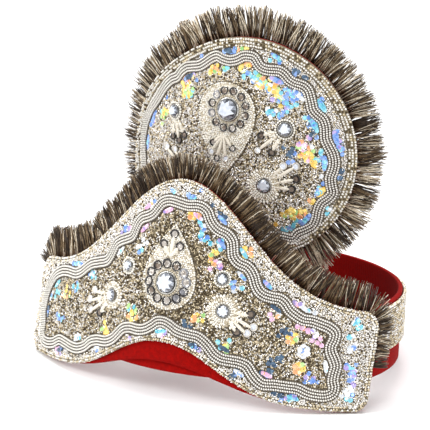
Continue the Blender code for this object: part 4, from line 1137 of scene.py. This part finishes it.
# Flakes overlapped like scales in each cluster, and lenses in the hollows of the wavy braid. A code in
# upper case is a rosette of seven larger flakes.
def foilClusters(at, spots, line, keep, spread):
    leaf, leafCodes = spread["leaf"], spread["leafCodes"]
    batches, taken, groups, leaves = [], [], [], []
    for where, t in hollowsOf(line):
        if chance.random() < foil["leafShare"]:
            leaves.append((where, t, leafCodes[chance.integers(len(leafCodes))]))
    for s, h, code in spots:
        k = int(np.argmin(((line - (s, h)) ** 2).sum(1)))
        groups.append((np.array([s, h]), unit(line[(k + 10) % len(line)] - line[k - 10]), code))
    for where, t, code in groups:
        big, code = code.isupper(), code.lower()
        local = chance.normal(0, 1, (spread["count"], 2)) * spread["reach"]
        if big:
            a = np.arange(7) * math.pi / 3
            local = np.stack([np.cos(a), np.sin(a)], 1) * np.array([foil["rosette"]] * 6 + [0.0])[:, None]
        pts = where + local[:, :1] * t + local[:, 1:] * np.array([-t[1], t[0]])
        pts = pts[keep(pts) & (cutGap(pts, line) > foil["clusterClear"])]
        if not len(pts):
            continue
        pick = foilPick(code, pts)
        p, axes = axesAt(at, pts[:, 0], pts[:, 1], 0.35 + 0.25 * chance.random(len(pts)))
        axes = tipped(axes, 0.12)
        size = (foil["bigFlake"] if big else foil["flake"]) + foil["vary"] * chance.random(len(pts))
        batches.append(copies(flake, p, sized(turned(axes, chance.random(len(pts)) * 6), size), pick))
        taken.append(pts)
    for where, t, code in leaves:
        pts = where + np.outer((-2.4, -1.2, 0, 1.2, 2.4), t)
        if not (keep(pts) & (cutGap(pts, line) > foil["leafClear"])).all():
            continue
        batches.append(laid(flake, at, where[:1], where[1:], 0.7, np.arctan2(t[1:], t[:1]),
                            (leaf[0], leaf[1], 2.0), foilIndex[code]))
        over = where + np.outer(chance.uniform(-0.34, 0.34, 4) * leaf[0], t)
        p, axes = axesAt(at, over[:, 0], over[:, 1], 0.85)
        pick = foilPick(code, over)
        axes = turned(tipped(axes, 0.08), chance.random(4) * 6)
        batches.append(copies(flake, p, sized(axes, leaf[1] * 0.8), pick))
        taken.append(pts)
    return batches, np.concatenate(taken)


# close cover of cut beads over the rest of both faces, clear of the rims by these margins
cover = {"plateRim": 1.8, "discRim": 5.4, "gap": 0.88, "astray": 0.15, "braidClear": 3.5, "flakeClear": 1.1,
         "through": 0.12, "tip": 0.35, "bead": 0.95, "gloomIn": 0.34, "patchIn": 0.08, "gloomOut": 0.08,
         "patchOut": 0.04, "byPad": 7, "gloomByPad": 0.08, "dark": 0.75, "dull": 1.3, "champagneIn": 0.28,
         "champagneOut": 0.14}


def clearOfMotifs(pts, at, drop):
    full = dropAt(drop)
    ok = ~(inLoop(pts, full) | (cutGap(pts, full) < 0.6))
    for m in motifs:
        if m["at"] is not at:
            continue
        d = pts - np.array(m["centre"])
        r, a = np.hypot(*d.T), np.arctan2(d[:, 1], d[:, 0])
        ok &= r > m["ring"] + 0.6
        if m["round"]:
            lo, hi = np.radians(m["round"][0]), np.radians(m["round"][1])
            swept = ((a - lo) % (2 * math.pi)) < hi - lo
            ok &= ~(swept & (r < m["ring"] + m["rows"][-1] + 1.9))
        for deg, long in m["fan"]:
            c, s = math.cos(math.radians(deg)), math.sin(math.radians(deg))
            x, y = d[:, 0] * c + d[:, 1] * s, -d[:, 0] * s + d[:, 1] * c
            ok &= ~((x > 0) & (x < long) & (np.abs(y) < 1.1)) & (np.hypot(x - long, y) > 2.2)
    return ok


def freeOnPlate(pts):
    s, h, margin = pts[:, 0], pts[:, 1], cover["plateRim"]
    inside = (np.abs(s) < plate["half"] - margin) & (h > plateBottom(s) + margin) & (h < plateTop(s) - margin)
    return inside & clearOfMotifs(pts, onPlate, plateDrop)


def freeOnDisc(pts):
    inside = np.hypot(pts[:, 0], pts[:, 1]) < discRadius(np.arctan2(pts[:, 1], pts[:, 0])) - cover["discRim"]
    return inside & clearOfMotifs(pts, onDisc, discDrop)


plateFlakes, plateTaken = foilClusters(onPlate, plateFoil, plateLine, freeOnPlate, plateScatter)
discFlakes, discTaken = foilClusters(onDisc, discFoil, discLine, freeOnDisc, discScatter)
sewn("plate_foil_flakes", plateFlakes, foils)
sewn("disc_foil_flakes", discFlakes, foils)


# gloomy scales how many dull and dark beads, the painted shade, there are by s; inside the braid's loop there
# are more of them than outside.
def beadCover(name, at, box, keep, line, taken, drop, gloomy):
    gap = cover["gap"]
    gx, gy = np.arange(box[0], box[1], gap), np.arange(box[2], box[3], gap * 0.87)
    px, py = np.meshgrid(gx, gy)
    px = px + np.where(np.arange(len(gy)) % 2, gap / 2, 0.0)[:, None]
    pts = np.stack([px.ravel(), py.ravel()], 1)
    pts += chance.normal(0, cover["astray"], pts.shape)
    pts = pts[keep(pts)]
    pts = pts[cutGap(pts, line) > cover["braidClear"]]
    pts = pts[(cutGap(pts, taken) > cover["flakeClear"]) | (chance.random(len(pts)) < cover["through"])]
    s, h, count = pts[:, 0], pts[:, 1], len(pts)
    deep = inLoop(pts, line[::4])
    patch = np.sin(s / 4.1 + 2 * np.sin(h / 5.3)) * np.sin(h / 4.7 + 1.5 * np.sin(s / 6.1))
    ring = cutGap(pts, dropAt(drop))
    # gloom is the share of beads given the painted-shade finishes: higher inside the loop, in patches and by
    # the pad
    gloom = np.where(deep, cover["gloomIn"] + cover["patchIn"] * patch,
                     cover["gloomOut"] + cover["patchOut"] * patch)
    gloom = gloom + np.where(deep & (ring < cover["byPad"]), cover["gloomByPad"], 0.0)
    gloom = gloom * np.interp(s, (-50, -10, 20), gloomy)
    roll = chance.random(count)
    dull = gloom * cover["dull"]
    slots = np.where(roll < dull + np.where(deep, cover["champagneIn"], cover["champagneOut"]), 1, 0)
    slots = np.where(roll < gloom * cover["dark"], 3, np.where(roll < dull, 2, slots))
    p, axes = axesAt(at, s, h, 0.28 + 0.22 * chance.random(count))
    axes = tipped(turned(axes, chance.random(count) * 6.28), cover["tip"])
    long = 1.0 + 0.3 * chance.random(count)
    sewn(name, [copies(metalBead, p, sized(axes, long, cover["bead"], cover["bead"]), slots)],
         [brightCut, champagneCut, dullShadedCut, darkShadedCut])


beadCover("plate_cut_beads", onPlate, (-108, 108, 0, 110), freeOnPlate, plateLine, plateTaken, plateDrop,
          (1.0, 1.0, 1.0))
# the disc takes far fewer painted-shade beads than the plate, fewest towards negative s: painted light making
# up for the weaker light on its face
beadCover("disc_cut_beads", onDisc, (-76, 76, -76, 76), freeOnDisc, discLine, discTaken, discDrop,
          (0.3, 0.48, 0.55))
print("stage: bead cover")

# thread fringes. The trims are rows of places along s, of the threads' length there and of their density
fringe = {"long": 15.8, "wide": 0.3, "platePerMm": 11, "discPerMm": 8.5, "clump": 1.7, "shortEnd": 0.62,
          "lean": 0.10, "stray": 0.065, "flareAll": 4.0, "flareLeft": 20.0, "steps": 700, "discOpen": 31,
          "plateTone": 0.82, "discTone": 1.05, "tuftTone": 0.09, "light": 0.74, "mid": 0.46,
          "plateTrim": ((-108, -40, -8, 14, 52, 72, 108), (1.0, 1.0, 0.87, 0.76, 0.76, 0.92, 0.92),
                        (1, 1, 1, 1, 0.72, 0.55, 0.42)),
          "discTrim": ((-100, 100), (1, 1), (1, 1))}


def openLine(points, count):
    run = runOf(points)
    return pointsAt(np.linspace(0, run[-1], count), run, points), run[-1]


# Loose metallic threads in tufts that lean and cross a little, from a sewn heading: three rings of three
# points each. endShort is the stretch at the end of the line where they are shorter and bent back.
def strandBatch(at, line, perMm, endShort, flare, trim):
    pts, run = openLine(line, fringe["steps"])
    every = np.arange(fringe["steps"])
    t = unit(np.gradient(pts, axis=0))
    out = np.stack([-t[:, 1], t[:, 0]], 1)
    for _ in range(30):
        out[1:-1] = (out[:-2] + 2 * out[1:-1] + out[2:]) / 4
    out = unit(out)
    count = int(run * perMm)
    u = np.sort(chance.random(count)) * run
    dense = np.interp(np.interp(u / run * every[-1], every, pts[:, 0]), trim[0], trim[2])
    u = u[chance.random(count) < dense]
    count = len(u)
    tuft = np.floor((u + 0.5 * np.sin(u * 1.7) + 0.4 * np.sin(u * 0.61)) / fringe["clump"]).astype(int)
    tuft -= tuft.min()
    total = tuft.max() + 1
    middle = np.array([u[tuft == k].mean() if (tuft == k).any() else 0.0 for k in range(total)])[tuft]
    swing = chance.normal(0, fringe["lean"], total)[tuft]
    pull = np.clip((middle - u) / fringe["clump"], -0.7, 0.7) * 0.15
    tall = fringe["long"] * (1 + chance.normal(0, 0.05, total)[tuft] - np.abs(chance.normal(0, 0.09, count)))
    tall = np.clip(tall, 8, fringe["long"] * 1.12)
    ending = np.clip((u - (run - endShort - 8)) / 8, 0, 1) if endShort else 0 * u
    tall *= 1 - (1 - fringe["shortEnd"]) * ending
    f = u / run * every[-1]
    s0, h0 = np.interp(f, every, pts[:, 0]), np.interp(f, every, pts[:, 1])
    tall *= np.interp(s0, trim[0], trim[1])
    a = np.unwrap(np.arctan2(out[:, 1], out[:, 0]))
    angle = np.interp(f, every, a) + swing + pull + chance.normal(0, fringe["stray"], count)
    forward = np.radians(flare[0] + flare[1] * np.clip(-np.cos(angle - swing), 0, 1) ** 1.5)
    root = headingBack - 0.1 - 1.3 * chance.random(count)
    drift = chance.normal(0, 0.7, count) + chance.normal(0, 1.1, total)[tuft] - 4.0 * ending
    curl = chance.normal(0, 0.05, count)
    rings = []
    for g, w in ((-0.06, 1.0), (0.5, 1.0), (1.0, 0.5)):
        b = angle + curl * g
        r = tall * g * np.cos(forward)
        o = root + tall * g * np.sin(forward) + drift * max(g, 0) ** 1.5
        p, axes = axesAt(at, s0 + r * np.cos(b), h0 + r * np.sin(b), o)
        side, thick = turned(axes, b), fringe["wide"] * w
        rings.append(np.stack([p + side[:, 1] * thick * math.cos(q) + side[:, 2] * thick * math.sin(q)
                               for q in np.radians((90, 210, 330))], 1))
    points = np.stack(rings, 1).reshape(count, 9, 3)
    faces = np.array([(0, 1, 4, 3), (1, 2, 5, 4), (2, 0, 3, 5), (3, 4, 7, 6), (4, 5, 8, 7), (5, 3, 6, 8)])
    ends = np.array([(0, 2, 1), (6, 7, 8)])
    corners = (np.concatenate([faces.ravel(), ends.ravel()])[None] + 9 * np.arange(count)[:, None]).ravel()
    counts = np.tile([4] * 6 + [3] * 2, count)
    tone = chance.random(count) * fringe["plateTone" if at is onPlate else "discTone"]
    tone = tone + fringe["tuftTone"] * chance.normal(0, 1, total)[tuft]
    slot = np.where(tone > fringe["light"], 2, np.where(tone > fringe["mid"], 1, 0))
    return {"points": points.reshape(-1, 3), "corners": corners, "counts": counts,
            "slots": np.repeat(slot, 8), "smooth": np.ones(len(counts), bool)}


def fringePiece(name, at, line, perMm, head, node, trim, endShort=0.0, flare=(0.0, 0.0)):
    inner = shifted(line, -head / 2, closed=False)
    tape = tapeAlong(at, openLine(inner, 160)[0], head, headingBack - 1.4, 1.3, closed=False)
    return sewn(name, [asIs(tape), strandBatch(at, line, perMm, endShort, flare, trim)],
                [threadDark, threadMid, threadLight], [node])


topS = np.linspace(-plate["half"], plate["half"], 300)
endRise = np.stack([np.full(12, plate["half"]), np.linspace(plateTop(plate["half"]) - 1.0, 22.0, 12)], 1)
plateEdge = np.vstack([np.stack([topS, plateTop(topS)], 1), endRise])
free = math.radians(fringe["discOpen"])
discEdge = discRing(np.linspace(1.5 * math.pi - free, -0.5 * math.pi + free, 400), 0.0)
fringePiece("plate_thread_fringe", onPlate, plateEdge, fringe["platePerMm"], 1.5, "plate_fringe",
            fringe["plateTrim"], endShort=24.0)
fringePiece("disc_thread_fringe", onDisc, discEdge, fringe["discPerMm"], 5.0, "disc_fringe",
            fringe["discTrim"], flare=(fringe["flareAll"], fringe["flareLeft"]))
print("stage: fringes")

# hidden stay behind the disc, covered in the same felt
stay = {"wide": 26.0, "thick": 2.4, "foot": 18.0, "top": 112.0}


# Where the stay's middle lies so that it clears the band's inner wall at a height.
def wallClear(z):
    wall = max(float(bandPoints(np.radians([float(d)]), z, -band["wall"])[0, 1]) for d in (0, 6, 12))
    return wall + layer["gap"] + 0.1 + stay["thick"] / 2


def makeStay():
    wallY, footY = wallClear(band["high"]), wallClear(stay["foot"])
    backY = disc["y"] + layer["face"] + layer["gap"] + layer["felt"] + 1.2 + stay["thick"] / 2
    spine = np.array([(footY, stay["foot"]), (wallY, 47.0), (wallY + 2.5, 52.0), (wallY + 7.0, 55.3),
                      (wallY + 13.0, 56.4), (backY - 7.0, 56.4), (backY - 2.0, 57.2), (backY - 0.2, 60.0),
                      (backY, 66.0),
                      (backY + (stay["top"] - disc["z"]) * math.tan(disc["lean"]) + 0.2, stay["top"])])
    t = unit(np.gradient(spine, axis=0))
    nrm = np.stack([-t[:, 1], t[:, 0]], 1)
    x = np.array([-1, -0.985, -0.9, -0.5, 0, 0.5, 0.9, 0.985, 1]) * stay["wide"] / 2
    half = np.array([0.35, 0.85, 1, 1, 1, 1, 1, 0.85, 0.35]) * stay["thick"] / 2

    def side(sign):
        return np.stack([np.stack([np.full(len(spine), a), *(spine + nrm * b * sign).T], 1)
                         for a, b in zip(x, half)], 1)
    setRight(sewn("disc_felt_stay", [asIs(gridShape(side(1), side(-1)))], [redFelt],
                  ["disc_stay"]))


makeStay()
print("stage: stay")
